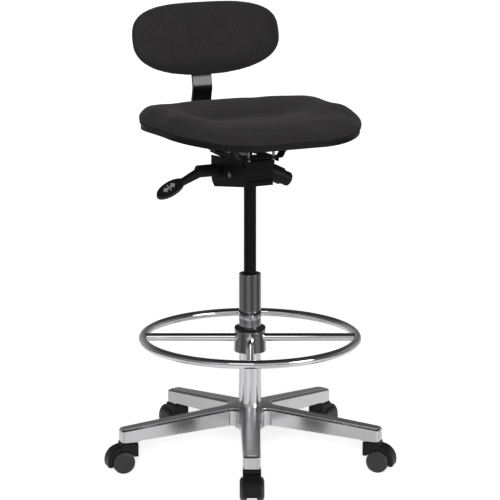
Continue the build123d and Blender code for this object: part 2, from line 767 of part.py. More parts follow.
# ---------------------------------------------------------------- seat plate
RAIL_INNER = 26.0
RAIL_OUTER = 41.0
PLATE_FRONT = -60.0
PLATE_REAR = 118.0
TABS = ((-60.0, -34.0), (67.0, 118.0))
with BuildPart() as seat_plate:
    with BuildSketch(Plane.XY.offset(PLATE_TOP - PLATE_SHEET)):
        with Locations((0, PLATE_FRONT)):
            Rectangle(
                2 * RAIL_OUTER,
                PLATE_REAR - PLATE_FRONT,
                align=(Align.CENTER, Align.MIN),
            )
        with Locations((0, -12)):
            Rectangle(2 * RAIL_INNER, 200, align=(Align.CENTER, Align.MIN), mode=Mode.SUBTRACT)
    extrude(amount=PLATE_SHEET)
    for side in (-1, 1):
        # turned-down lip along the rail
        with Locations((side * (RAIL_OUTER - 1.5), PLATE_FRONT, PLATE_TOP - PLATE_SHEET)):
            Box(
                3,
                PLATE_REAR - PLATE_FRONT,
                7,
                align=(Align.CENTER, Align.MIN, Align.MAX),
            )
        # ear on the front pivot, outside the housing
        with BuildSketch(Plane.YZ.offset(side * 34)):
            with Locations(FRONT_PIVOT):
                Circle(8)
            with Locations((FRONT_PIVOT[0], PLATE_TOP - PLATE_SHEET - 6)):
                Rectangle(24, 12)
            with Locations(FRONT_PIVOT):
                Circle(4 + RUNNING, mode=Mode.SUBTRACT)
        extrude(amount=side * 3)
        # slotted ear on the link pin, inside the housing
        with BuildSketch(Plane.YZ.offset(side * RAIL_INNER)):
            with Locations((LINK[0] + 4, PLATE_TOP - 11)):
                Rectangle(34, 22)
            with Locations((LINK[0] + 4, LINK[1] + 0.35)):
                SlotOverall(18, 9.8, mode=Mode.SUBTRACT)
        extrude(amount=side * 3)
        # tabs that rise to the seat
        for start, end in TABS:
            with BuildSketch(Plane.XZ.offset(-end)):
                with BuildLine():
                    FilletPolyline(
                        (side * (RAIL_OUTER - 2), PLATE_TOP - 1.5),
                        (side * 50, PLATE_TOP - 1.5),
                        (side * 63, FLANGE_TOP - 1.5),
                        (side * 88, FLANGE_TOP - 1.5),
                        radius=6,
                    )
                trace(line_width=PLATE_SHEET)
            extrude(amount=end - start)
    with BuildSketch(Plane.XY.offset(PLATE_TOP - 20)):
        with Locations((-31, -53), (31, -53), (-76, -47), (76, -47), (-76, 92), (76, 92)):
            Circle(3)
    extrude(amount=60, mode=Mode.SUBTRACT)
seat_plate.part.label = "seat_plate"
export_step(seat_plate.part, "parts/seat_plate.step")

# ---------------------------------------------------------------- seat
FRONT_DROP = 19.0
SEAT_HALF = SEAT_DEPTH / 2
TOP_REAR = 799.0
TOP_DISH = 787.0
TOP_ROLL = 788.0
TOP_FRONT = 770.0
BOLT_PLACES = ((-31, -53), (31, -53), (-76, -47), (76, -47), (-76, 92), (76, 92))


def seat_line(rise):
    """The seat's lower edge seen from the side, from rear to front, raised by rise."""
    return (
        (SEAT_HALF + 5, SEAT_EDGE + rise),
        (0, SEAT_EDGE + rise),
        (-140, SEAT_EDGE - 6 + rise),
        (-SEAT_HALF - 5, SEAT_EDGE - FRONT_DROP + rise),
    )


def seat_outline(low_line, high_line):
    """Draw the closed side profile between a lower and an upper line."""
    low = Spline(*low_line)
    high = Spline(*high_line)
    Line(low @ 0, high @ 0)
    Line(low @ 1, high @ 1)


with BuildPart() as seat_shell:
    with BuildSketch(Plane.XY.offset(FLANGE_TOP)):
        RectangleRounded(
            SEAT_WIDTH - 2 * BAND_INSET,
            SEAT_DEPTH - 2 * BAND_INSET,
            SEAT_CORNER - BAND_INSET,
        )
    extrude(amount=100)
    with BuildSketch(Plane.YZ):
        with BuildLine():
            seat_outline(seat_line(0), seat_line(BAND))
        make_face()
    extrude(amount=SEAT_WIDTH / 2 + 5, both=True, mode=Mode.INTERSECT)
    for x, y in BOLT_PLACES:
        with BuildSketch(Plane.XY.offset(FLANGE_TOP)):
            with Locations((x, y)):
                Circle(10)
        extrude(amount=SEAT_EDGE + 2 - FLANGE_TOP)
    for x, y in BOLT_PLACES:
        with BuildSketch(Plane.XY.offset(FLANGE_TOP)):
            with Locations((x, y)):
                Circle(3)
        extrude(amount=25, mode=Mode.SUBTRACT)
seat_shell.part.label = "seat_shell"
export_step(seat_shell.part, "parts/seat_shell.step")

with BuildPart() as seat_cushion:
    with BuildSketch(Plane.XY.offset(FLANGE_TOP)):
        RectangleRounded(SEAT_WIDTH, SEAT_DEPTH, SEAT_CORNER)
    extrude(amount=100)
    top_line = (
        (SEAT_HALF + 5, TOP_REAR),
        (110, TOP_REAR - 5),
        (0, TOP_DISH),
        (-130, TOP_ROLL),
        (-SEAT_HALF - 5, TOP_FRONT),
    )
    with BuildSketch(Plane.YZ):
        with BuildLine():
            seat_outline(seat_line(BAND), top_line)
        make_face()
    extrude(amount=SEAT_WIDTH / 2 + 5, both=True, mode=Mode.INTERSECT)
seat_cushion.part.label = "seat_cushion"
export_step(seat_cushion.part, "parts/seat_cushion.step")

with BuildPart() as seat_bolts:
    for x, y in BOLT_PLACES:
        head_top = PLATE_TOP - PLATE_SHEET if abs(x) < RAIL_OUTER else FLANGE_TOP - PLATE_SHEET
        with BuildSketch(Plane.XY.offset(head_top)):
            with Locations((x, y)):
                Circle(5)
        extrude(amount=-3.5)
        with BuildSketch(Plane.XY.offset(head_top)):
            with Locations((x, y)):
                Circle(3)
        extrude(amount=FLANGE_TOP + 24 - head_top)
seat_bolts.part.label = "seat_bolts"
export_step(seat_bolts.part, "parts/seat_bolts.step")

# ---------------------------------------------------------------- foot ring
HUB_TOP_RADIUS = 34.5
HUB_FOOT_RADIUS = 37.0
COLLET_RADIUS = 29.0
with BuildPart() as footring_hoop:
    with Locations((0, 0, RING_HEIGHT)):
        Torus(RING_RADIUS, RING_TUBE)
        Torus(RING_RADIUS, RING_TUBE - RING_WALL, mode=Mode.SUBTRACT)
    # drain hole on the underside
    with Locations((-RING_RADIUS, 0, RING_HEIGHT - RING_TUBE)):
        Cylinder(2, 6, mode=Mode.SUBTRACT)
footring_hoop.part.label = "footring_hoop"
export_step(footring_hoop.part, "parts/footring_hoop.step")

footring_hub = turned(
    [
        (COLLET_RADIUS, RING_HUB_BOTTOM),
        (HUB_FOOT_RADIUS - 1, RING_HUB_BOTTOM),
        (HUB_FOOT_RADIUS, RING_HUB_BOTTOM + 1),
        (HUB_TOP_RADIUS, RING_HUB_TOP - 3),
        (HUB_TOP_RADIUS - 2, RING_HUB_TOP),
        (COLLET_RADIUS, RING_HUB_TOP),
    ]
)
footring_hub.part.label = "footring_hub"
export_step(footring_hub.part, "parts/footring_hub.step")

SPOKE_RADIUS = 9.0
with BuildPart() as footring_spokes:
    with PolarLocations(0, SPOKES, start_angle=RING_TURN):
        with Locations((0, 0, RING_HEIGHT)):
            Cylinder(
                SPOKE_RADIUS,
                RING_RADIUS,
                rotation=(0, 90, 0),
                align=(Align.CENTER, Align.CENTER, Align.MIN),
            )
    with PolarLocations(0, SPOKES, start_angle=RING_TURN):
        with Locations((0, 0, RING_HEIGHT)):
            Cylinder(
                SPOKE_RADIUS - RING_WALL,
                RING_RADIUS + 5,
                rotation=(0, 90, 0),
                align=(Align.CENTER, Align.CENTER, Align.MIN),
                mode=Mode.SUBTRACT,
            )
    with Locations((0, 0, RING_HEIGHT)):
        Torus(RING_RADIUS, RING_TUBE, mode=Mode.SUBTRACT)
    with BuildSketch(Plane.XZ):
        Polygon(
            (0, RING_HUB_BOTTOM),
            (HUB_FOOT_RADIUS, RING_HUB_BOTTOM + 1),
            (HUB_TOP_RADIUS, RING_HUB_TOP - 3),
            (0, RING_HUB_TOP),
            align=None,
        )
    revolve(axis=Axis.Z, mode=Mode.SUBTRACT)
footring_spokes.part.label = "footring_spokes"
export_step(footring_spokes.part, "parts/footring_spokes.step")

footring_collet = turned(
    [
        (COLUMN_RADIUS + RUNNING, RING_HUB_BOTTOM + 2),
        (COLLET_RADIUS, RING_HUB_BOTTOM + 2),
        (COLLET_RADIUS, RING_HUB_TOP),
        (COLUMN_RADIUS + RUNNING, RING_HUB_TOP),
    ]
)
footring_collet.part.label = "footring_collet"
export_step(footring_collet.part, "parts/footring_collet.step")

NUT_BOTTOM = RING_HUB_TOP + 0.4
NUT_RADIUS = 35.0
with BuildPart() as footring_nut:
    with BuildSketch(Plane.XY.offset(NUT_BOTTOM)):
        Circle(NUT_RADIUS)
        Circle(COLUMN_RADIUS + 0.5, mode=Mode.SUBTRACT)
    extrude(amount=6)
    chamfer(footring_nut.edges().filter_by(GeomType.CIRCLE).sort_by(SortBy.RADIUS)[-2:], length=1)
    with BuildSketch(Plane.XY.offset(NUT_BOTTOM)):
        with PolarLocations(NUT_RADIUS, 24):
            Circle(0.9)
    extrude(amount=6, mode=Mode.SUBTRACT)
footring_nut.part.label = "footring_nut"
export_step(footring_nut.part, "parts/footring_nut.step")

# ---------------------------------------------------------------- casters
# Modelled once on +X, where the stem stands at ARM_REACH, and then set at each arm.
AXLE_X = ARM_REACH + TRAIL
AXLE = (AXLE_X, WHEEL_RADIUS)
HOOD_TOP = BOSS_BOTTOM - 2
NECK_HALF = 19.0
WEB_HALF = WHEEL_INNER - 0.45
CAVITY = WHEEL_RADIUS + 1.6
AXLE_HALF = 23.0

with BuildPart() as stem_and_axle:
    with Locations((ARM_REACH, 0, HOOD_TOP - 17)):
        Cylinder(STEM_RADIUS, 40, align=(Align.CENTER, Align.CENTER, Align.MIN))
    with Locations((AXLE_X, 0, WHEEL_RADIUS)):
        Cylinder(AXLE_RADIUS, 2 * AXLE_HALF, rotation=(90, 0, 0))



def beyond_wheel(edge):
    """True for an edge on the hood's outer rim, clear of the axle."""
    nearest = min(math.hypot(v.X - AXLE_X, v.Z - WHEEL_RADIUS) for v in edge.vertices())
    return nearest > 28 and max(v.Z for v in edge.vertices()) > HOOD_FRONT_FOOT + 0.5


HOOD_FRONT_FOOT = 36.0  # lower end of the hood on the stem's side
HOOD_REAR_FOOT = 15.0
with BuildPart() as hood:
    with BuildSketch(Plane.XZ) as hood_outline:
        with Locations(AXLE):
            Circle(HOOD_RADIUS)
        with Locations((ARM_REACH, 30)):
            Rectangle(2 * NECK_HALF, HOOD_TOP - 30, align=(Align.CENTER, Align.MIN))
        with Locations((AXLE_X - 50, HOOD_FRONT_FOOT)):
            Rectangle(50, 60, align=(Align.MIN, Align.MAX), mode=Mode.SUBTRACT)
        with Locations((AXLE_X, HOOD_REAR_FOOT)):
            Rectangle(50, 60, align=(Align.MIN, Align.MAX), mode=Mode.SUBTRACT)
        fillet([v for v in hood_outline.vertices() if v.Y > 40], radius=3)
    extrude(amount=HOOD_HALF, both=True)
    rim = [e for f in hood.faces().filter_by(Axis.Y) for e in f.edges()]
    fillet([e for e in rim if beyond_wheel(e)], radius=3.5)
    with BuildSketch(Plane.XZ):
        with Locations(AXLE):
            Circle(HOOD_RADIUS - 9.5)
        with Locations((AXLE_X, 15)):
            Rectangle(80, 60, align=(Align.CENTER, Align.MAX), mode=Mode.SUBTRACT)
    extrude(amount=WEB_HALF, both=True)
    for side in (-1, 1):
        with BuildSketch(Plane.XZ.offset(side * WEB_HALF)):
            with Locations(AXLE):
                Circle(CAVITY)
        extrude(amount=side * 15, mode=Mode.SUBTRACT)
    with Locations((AXLE_X, 0, WHEEL_RADIUS)):
        Cylinder(AXLE_RADIUS, 60, rotation=(90, 0, 0), mode=Mode.SUBTRACT)
    with Locations((ARM_REACH, 0, HOOD_TOP - 17)):
        Cylinder(
            STEM_RADIUS,
            40,
            align=(Align.CENTER, Align.CENTER, Align.MIN),
            mode=Mode.SUBTRACT,
        )


def wheel(side):
    """One of the two wheels, on the +Y or -Y side of the caster."""
    with BuildPart() as disc:
        with BuildSketch(Plane(origin=(AXLE_X, 0, WHEEL_RADIUS))):
            with BuildLine():
                Polyline(
                    (AXLE_RADIUS + RUNNING, side * WHEEL_INNER),
                    (WHEEL_RADIUS - 1.5, side * WHEEL_INNER),
                    (WHEEL_RADIUS, side * (WHEEL_INNER + 1.5)),
                    (WHEEL_RADIUS, side * (WHEEL_OUTER - 3.5)),
                    (WHEEL_RADIUS - 1.2, side * (WHEEL_OUTER - 2.2)),
                    (WHEEL_RADIUS - 6, side * WHEEL_OUTER),
                    (0, side * WHEEL_OUTER),
                    (0, side * (AXLE_HALF + 0.3)),
                    (AXLE_RADIUS + RUNNING, side * (AXLE_HALF + 0.3)),
                    close=True,
                )
            make_face()
        revolve(axis=Axis((AXLE_X, 0, WHEEL_RADIUS), (0, 1, 0)))
    return disc


CASTER_PIECES = {
    "stem_and_axle": stem_and_axle,
    "hood": hood,
    "wheel_left": wheel(1),
    "wheel_right": wheel(-1),
}
for number in range(1, ARMS + 1):
    turn = ARM_TURN + 360 / ARMS * (number - 1)
    for piece_name, master in CASTER_PIECES.items():
        with BuildPart() as caster_piece:
            with Locations(Location((0, 0, 0), (0, 0, turn))):
                add(master.part)
        caster_piece.part.label = f"caster_{number}_{piece_name}"
        export_step(caster_piece.part, f"parts/caster_{number}_{piece_name}.step")
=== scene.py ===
import json
import math

import bpy
import numpy as np
from bpy.props import FloatProperty, FloatVectorProperty, IntProperty, PointerProperty
from mathutils import Matrix, Vector


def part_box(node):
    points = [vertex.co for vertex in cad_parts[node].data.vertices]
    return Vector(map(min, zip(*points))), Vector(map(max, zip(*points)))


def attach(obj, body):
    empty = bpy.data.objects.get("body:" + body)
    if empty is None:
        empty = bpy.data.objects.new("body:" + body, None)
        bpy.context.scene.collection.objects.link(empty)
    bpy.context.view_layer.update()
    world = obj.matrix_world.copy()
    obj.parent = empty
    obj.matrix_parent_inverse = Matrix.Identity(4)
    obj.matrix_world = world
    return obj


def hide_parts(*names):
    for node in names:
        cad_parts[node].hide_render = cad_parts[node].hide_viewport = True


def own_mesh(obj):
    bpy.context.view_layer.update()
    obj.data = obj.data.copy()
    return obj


bl_info = {
    "name": "Drafting chair looks",
    "version": (1, 0, 0),
    "blender": (4, 5, 0),
    "location": "3D View > Sidebar > Chair",
    "description": "Upholstery, finishes and studio for the drafting chair",
    "category": "Object",
}

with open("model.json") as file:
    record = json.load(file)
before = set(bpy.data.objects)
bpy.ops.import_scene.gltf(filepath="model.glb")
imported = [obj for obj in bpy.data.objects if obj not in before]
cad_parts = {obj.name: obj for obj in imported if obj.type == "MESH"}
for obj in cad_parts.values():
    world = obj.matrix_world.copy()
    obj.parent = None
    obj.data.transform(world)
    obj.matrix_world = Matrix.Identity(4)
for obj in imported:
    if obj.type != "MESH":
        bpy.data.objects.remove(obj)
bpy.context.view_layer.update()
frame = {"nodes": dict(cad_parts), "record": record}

# ---------- sizes taken from the frame
SEAT_LOW, SEAT_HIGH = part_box("seat_cushion")
SEAT_WIDTH = SEAT_HIGH.x - SEAT_LOW.x
SEAT_DEPTH = SEAT_HIGH.y - SEAT_LOW.y
BACK_LEAN = math.radians(12.0)
BAR_KINK = Vector((0.0, 0.240, 0.821))
BACK_UP = Vector((0.0, math.sin(BACK_LEAN), math.cos(BACK_LEAN)))
BACK_FRONT = Vector((0.0, -math.cos(BACK_LEAN), math.sin(BACK_LEAN)))
BACK_FRAME = Matrix(
    (
        (1.0, BACK_UP.x, BACK_FRONT.x, BAR_KINK.x),
        (0.0, BACK_UP.y, BACK_FRONT.y, BAR_KINK.y),
        (0.0, BACK_UP.z, BACK_FRONT.z, BAR_KINK.z),
        (0.0, 0.0, 0.0, 1.0),
    )
)


# ---------- settings
def a_colour(name, description, default):
    """A colour setting."""
    return FloatVectorProperty(
        name=name, description=description, subtype="COLOR", size=3, min=0, max=1, default=default
    )


def a_number(name, description, default, low=0, **kind):
    """A setting that is a number, with its unit where it has one."""
    return FloatProperty(name=name, description=description, default=default, min=low, **kind)


def a_length(name, description, default, low=0):
    """A length setting in metres."""
    return a_number(name, description, default, low, unit="LENGTH")


class ChairFinishes(bpy.types.PropertyGroup):
    """Colours and roughness of the chair's finishes."""

    fabric: a_colour("Fabric", "Colour of the upholstery cloth", (0.0138, 0.0130, 0.0131))
    thread_pitch: a_length(
        "Thread pitch", "Distance from one thread of the cloth to the next", 0.0011, 0.0003
    )
    plastic: a_colour("Plastic", "Colour of the moulded black plastic", (0.0045, 0.0045, 0.0048))
    wheel: a_colour("Wheels", "Colour of the caster wheels", (0.014, 0.014, 0.0148))
    powder_coat: a_colour(
        "Powder coat", "Colour of the mechanism's powder coat", (0.0032, 0.0032, 0.0034)
    )
    gloss_paint: a_colour(
        "Gloss paint", "Colour of the gas cylinder and back bar", (0.0022, 0.0022, 0.0024)
    )
    aluminium: a_colour("Aluminium", "Colour of the polished base", (0.70, 0.70, 0.71))
    chrome: a_colour("Chrome", "Colour of the column and foot ring", (0.80, 0.80, 0.815))
    steel: a_colour("Bright steel", "Colour of pins, axles and bolts", (0.58, 0.58, 0.59))


class SeatPadSizes(bpy.types.PropertyGroup):
    """Shape of the seat's upholstered pad."""

    corner: a_length("Corner radius", "Radius of the seat's corners in plan", 0.160, 0.02)
    bolster: a_length("Bolster", "How far the seat's sides rise above its middle", 0.020)
    dish: a_length("Dish", "How deep the hollow behind the thighs is", 0.014)
    edge: a_length("Edge roll", "Width of the rounded edge", 0.026, 0.005)
    pressure: a_number(
        "Filling", "Pressure of the foam on the cover while it is being shaped", 4.0
    )
    frames: IntProperty(
        name="Settling steps", description="Steps for which the cover settles over the foam",
        default=20, min=2,
    )


class BackPadSizes(bpy.types.PropertyGroup):
    """Shape of the backrest's upholstered pad."""

    width: a_length("Width", "Width of the pad", 0.373, 0.05)
    height: a_length("Height", "Height of the pad along the bar", 0.1695, 0.05)
    centre: a_length("Centre", "Height of the pad's middle above the bar's bend", 0.1095)
    rear: a_length("Rear", "Distance from the bar to the pad's rear edge", 0.0215)
    front: a_length("Front", "Distance from the bar to the pad's face", 0.066)
    wrap: a_length("Wrap", "How far the pad's ends curve forward of its middle", 0.013)
    top_power: a_number("Top squareness", "Higher values give squarer top corners", 3.05, 2)
    bottom_power: a_number(
        "Bottom squareness", "Higher values give squarer bottom corners", 2.4, 2
    )


class StudioSizes(bpy.types.PropertyGroup):
    """Floor, lights and camera."""

    floor: a_length("Floor", "Radius of the floor", 90.0, 5)
    pool: a_length("Bright pool", "Radius of the floor's bright part in reflections", 1.0, 0.1)
    front_light: a_number("Front light", "Strength of the light from the front left", 3.3)
    top_light: a_number("Top light", "Strength of the light from above", 0.12)
    softbox: a_number("Softbox", "Power of the softbox in watts", 8.0)
    distance: a_length("Camera distance", "Level distance from the column to the camera", 5.0, 1)
    height: a_length("Camera height", "Height of the camera above the floor", 1.559)
    azimuth: FloatProperty(
        name="Camera azimuth", description="How far the camera stands round from the chair's front",
        default=math.radians(27.0), subtype="ANGLE",
    )
    pitch: FloatProperty(
        name="Camera pitch", description="How far the camera looks down",
        default=math.radians(12.13), subtype="ANGLE",
    )
    lens: a_number("Lens", "Focal length of the camera in millimetres", 164.8, 10)


# ---------- shader helpers
def new_group(name, inputs, outputs):
    """A shader node group with named number inputs, and number or vector outputs."""
    group = bpy.data.node_groups.new(name, "ShaderNodeTree")
    kinds = {"value": "NodeSocketFloat", "vector": "NodeSocketVector"}
    for socket, default in inputs:
        made = group.interface.new_socket(socket, in_out="INPUT", socket_type=kinds["value"])
        made.default_value = default
    for socket, kind in outputs:
        group.interface.new_socket(socket, in_out="OUTPUT", socket_type=kinds[kind])
    return group, group.nodes.new("NodeGroupInput"), group.nodes.new("NodeGroupOutput")


def maths(tree, operation, first, second=None):
    """A Math node; first and second are sockets or numbers."""
    node = tree.nodes.new("ShaderNodeMath")
    node.operation = operation
    for slot, value in zip(node.inputs, (first, second)):
        if value is None:
            continue
        if isinstance(value, (int, float)):
            slot.default_value = value
        else:
            tree.links.new(value, slot)
    return node.outputs[0]


def blended(tree, share, first, second):
    """A Mix node between two numbers or two colours."""
    node = tree.nodes.new("ShaderNodeMix")
    colour = any(isinstance(v, tuple) or getattr(v, "type", "") == "RGBA" for v in (first, second))
    node.data_type = "RGBA" if colour else "FLOAT"
    slots = (node.inputs[6], node.inputs[7]) if colour else (node.inputs[2], node.inputs[3])
    tree.links.new(share, node.inputs[0])
    for slot, value in zip(slots, (first, second)):
        if isinstance(value, bpy.types.NodeSocket):
            tree.links.new(value, slot)
        elif colour:
            slot.default_value = (*value, 1.0)
        else:
            slot.default_value = value
    return node.outputs[2] if colour else node.outputs[0]


def noise(tree, vector, scale, detail=2.0, roughness=0.5):
    """A Noise Texture's value; scale is a socket or a number."""
    node = tree.nodes.new("ShaderNodeTexNoise")
    node.inputs["Detail"].default_value = detail
    node.inputs["Roughness"].default_value = roughness
    if isinstance(scale, (int, float)):
        node.inputs["Scale"].default_value = scale
    else:
        tree.links.new(scale, node.inputs["Scale"])
    tree.links.new(vector, node.inputs["Vector"])
    return node.outputs["Fac"]


def object_place(tree):
    """The place on a piece, in its own coordinates."""
    return tree.nodes.new("ShaderNodeTexCoord").outputs["Object"]


def dotted(tree, first, second):
    """The dot product of two vectors; second is a socket or a plain vector."""
    node = tree.nodes.new("ShaderNodeVectorMath")
    node.operation = "DOT_PRODUCT"
    tree.links.new(first, node.inputs[0])
    if isinstance(second, tuple):
        node.inputs[1].default_value = second
    else:
        tree.links.new(second, node.inputs[1])
    return node.outputs["Value"]


def ramped(tree, value, low, high):
    """A smooth step from 0 at low to 1 at high."""
    node = tree.nodes.new("ShaderNodeMapRange")
    node.interpolation_type = "SMOOTHSTEP"
    node.inputs["From Min"].default_value = low
    node.inputs["From Max"].default_value = high
    tree.links.new(value, node.inputs["Value"])
    return node.outputs["Result"]


# ---------- shared effects
def make_edge_wear_and_highlight():
    """Mask of the edges, lightened partly as rubbed-thin wear and partly as a painted edge
    highlight.
    """
    group, given, out = new_group(
        "Edge Wear And Highlight",
        [("Width", 0.0012), ("Break Up", 60.0)],
        [("Mask", "value"), ("Normal", "vector")],
    )
    bevel = group.nodes.new("ShaderNodeBevel")
    bevel.samples = 4
    group.links.new(given.outputs["Width"], bevel.inputs["Radius"])
    geometry = group.nodes.new("ShaderNodeNewGeometry")
    turned = dotted(group, bevel.outputs["Normal"], geometry.outputs["Normal"])
    # painted highlight: this edge mask, broken up by noise, lightens edges both as wear and as a
    # painted highlight
    edge = maths(group, "MULTIPLY", maths(group, "SUBTRACT", 1.0, turned), 9.0)
    patchy = noise(group, object_place(group), given.outputs["Break Up"], 3.0)
    patchy = maths(group, "MULTIPLY", maths(group, "SUBTRACT", patchy, 0.35), 2.2)
    mask = maths(group, "MINIMUM", maths(group, "MULTIPLY", edge, patchy), 1.0)
    group.links.new(maths(group, "MAXIMUM", mask, 0.0), out.inputs["Mask"])
    group.links.new(bevel.outputs["Normal"], out.inputs["Normal"])


def make_moulded_grain():
    """Fine pebbled surface of a moulding or a powder coat."""
    group, given, out = new_group(
        "Moulded Grain",
        [("Scale", 900.0), ("Patches", 14.0)],
        [("Height", "value"), ("Variation", "value")],
    )
    place = object_place(group)
    cells = group.nodes.new("ShaderNodeTexVoronoi")
    cells.feature = "SMOOTH_F1"
    group.links.new(given.outputs["Scale"], cells.inputs["Scale"])
    group.links.new(place, cells.inputs["Vector"])
    fine = noise(group, place, maths(group, "MULTIPLY", given.outputs["Scale"], 2.3), 2.0)
    height = maths(group, "ADD", cells.outputs["Distance"], maths(group, "MULTIPLY", fine, 0.5))
    group.links.new(height, out.inputs["Height"])
    group.links.new(noise(group, place, given.outputs["Patches"], 3.0), out.inputs["Variation"])


def make_handling_marks():
    """Faint smudges and hairline scratches on a bright surface."""
    group, given, out = new_group(
        "Handling Marks",
        [("Smudge Scale", 16.0), ("Scratch Scale", 240.0)],
        [("Smudge", "value"), ("Scratch", "value")],
    )
    place = object_place(group)
    group.links.new(
        noise(group, place, given.outputs["Smudge Scale"], 4.0, 0.62), out.inputs["Smudge"]
    )
    stretch = group.nodes.new("ShaderNodeMapping")
    stretch.inputs["Rotation"].default_value = (0.2, 0.35, 0.6)
    stretch.inputs["Scale"].default_value = (1.0, 0.05, 1.0)
    group.links.new(place, stretch.inputs["Vector"])
    lines = noise(group, stretch.outputs["Vector"], given.outputs["Scratch Scale"], 3.0, 0.7)
    lines = maths(group, "MULTIPLY", maths(group, "SUBTRACT", lines, 0.56), 5.0)
    lines = maths(group, "MINIMUM", maths(group, "MAXIMUM", lines, 0.0), 1.0)
    group.links.new(lines, out.inputs["Scratch"])


def make_plain_weave():
    """Over-and-under threads of a plain cloth."""
    group, given, out = new_group(
        "Plain Weave",
        [("Pitch", 0.0011)],
        [("Height", "value"), ("Thread Shade", "value"), ("Slub", "value")],
    )
    place = object_place(group)
    parts = group.nodes.new("ShaderNodeSeparateXYZ")
    drift = noise(group, place, 45.0, 2.0)
    drift = maths(group, "MULTIPLY", maths(group, "SUBTRACT", drift, 0.5), 0.0016)
    group.links.new(place, parts.inputs[0])
    across, along, rise = parts.outputs
    turn = maths(group, "DIVIDE", math.pi, given.outputs["Pitch"])
    warp = maths(group, "ADD", across, maths(group, "MULTIPLY", rise, 0.83))
    warp = maths(group, "MULTIPLY", maths(group, "ADD", warp, drift), turn)
    weft = maths(group, "ADD", along, maths(group, "MULTIPLY", rise, 0.57))
    weft = maths(group, "MULTIPLY", maths(group, "SUBTRACT", weft, drift), turn)
    warp_wave = maths(group, "ABSOLUTE", maths(group, "SINE", warp))
    weft_wave = maths(group, "ABSOLUTE", maths(group, "SINE", weft))
    check = maths(
        group, "MULTIPLY",
        maths(group, "SINE", maths(group, "MULTIPLY", warp, 0.5)),
        maths(group, "SINE", maths(group, "MULTIPLY", weft, 0.5)),
    )
    over = maths(group, "ADD", maths(group, "MULTIPLY", check, 0.5), 0.5)
    height = maths(
        group, "ADD",
        maths(group, "MULTIPLY", warp_wave, over),
        maths(group, "MULTIPLY", weft_wave, maths(group, "SUBTRACT", 1.0, over)),
    )
    group.links.new(height, out.inputs["Height"])
    fibres = noise(group, place, 2600.0, 2.0, 0.7)
    shade = maths(group, "ADD", maths(group, "MULTIPLY", over, 0.45), fibres)
    group.links.new(shade, out.inputs["Thread Shade"])
    clouds = noise(group, place, 32.0, 4.0, 0.6)
    flecks = maths(group, "SUBTRACT", noise(group, place, 330.0, 3.0, 0.8), 0.5)
    flecks = maths(group, "MULTIPLY", flecks, 4.5)
    slub = maths(group, "ADD", clouds, flecks)
    slub = maths(group, "MINIMUM", maths(group, "MAXIMUM", slub, 0.0), 1.0)
    group.links.new(slub, out.inputs["Slub"])


def placed(tree, group, **values):
    """A shared effect put into a material's tree, with its own values."""
    node = tree.nodes.new("ShaderNodeGroup")
    node.node_tree = bpy.data.node_groups[group]
    for name, value in values.items():
        node.inputs[name.replace("_", " ")].default_value = value
    return node


def new_material(name):
    """A material with its tree and its Principled shader."""
    material = bpy.data.materials.new(name)
    material.use_nodes = True
    tree = material.node_tree
    shader = next(n for n in tree.nodes if n.type == "BSDF_PRINCIPLED")
    return material, tree, shader


def bumped(tree, shader, height, distance, strength, normal=None):
    """Fine relief on a shader, over a given normal if there is one."""
    bump = tree.nodes.new("ShaderNodeBump")
    bump.inputs["Strength"].default_value = strength
    bump.inputs["Distance"].default_value = distance
    tree.links.new(height, bump.inputs["Height"])
    if normal is not None:
        tree.links.new(normal, bump.inputs["Normal"])
    tree.links.new(bump.outputs["Normal"], shader.inputs["Normal"])


def bright_metal(name, colour, smooth, smudged, edge_width, bump=0.00002):
    """Polished or plated metal: smudges change its gloss, scratches its surface."""
    _, tree, shader = new_material(name)
    shader.inputs["Metallic"].default_value = 1.0
    marks = placed(tree, "Handling Marks")
    edge_wear_and_highlight = placed(tree, "Edge Wear And Highlight", Width=edge_width)
    dull = tuple(c * 0.82 for c in colour)
    shade = blended(tree, marks.outputs["Smudge"], colour, dull)
    tree.links.new(shade, shader.inputs["Base Color"])
    gloss = blended(tree, marks.outputs["Smudge"], smooth, smudged)
    tree.links.new(gloss, shader.inputs["Roughness"])
    bumped(tree, shader, marks.outputs["Scratch"], bump, 0.25, edge_wear_and_highlight.outputs["Normal"])


def coated(name, colour, worn_and_lit_edge, smooth, rough, grain, depth, edge_width, coat=0.0, specular=0.5):
    """Paint or moulded plastic: a pebbled surface with lighter edges, partly rubbed wear and partly
    a painted highlight.
    """
    _, tree, shader = new_material(name)
    pebbles = placed(tree, "Moulded Grain", Scale=grain)
    edge_wear_and_highlight = placed(tree, "Edge Wear And Highlight", Width=edge_width)
    light = tuple(min(1.0, c * 1.5) for c in colour)
    base = blended(tree, pebbles.outputs["Variation"], colour, light)
    # the edges take the lighter edge colour: partly rubbed wear, partly a painted edge highlight
    tree.links.new(blended(tree, edge_wear_and_highlight.outputs["Mask"], base, worn_and_lit_edge), shader.inputs["Base Color"])
    gloss = blended(tree, pebbles.outputs["Variation"], smooth, rough)
    tree.links.new(gloss, shader.inputs["Roughness"])
    shader.inputs["Specular IOR Level"].default_value = specular
    shader.inputs["Coat Weight"].default_value = coat
    shader.inputs["Coat Roughness"].default_value = 0.12
    bumped(tree, shader, pebbles.outputs["Height"], depth, 0.5, edge_wear_and_highlight.outputs["Normal"])


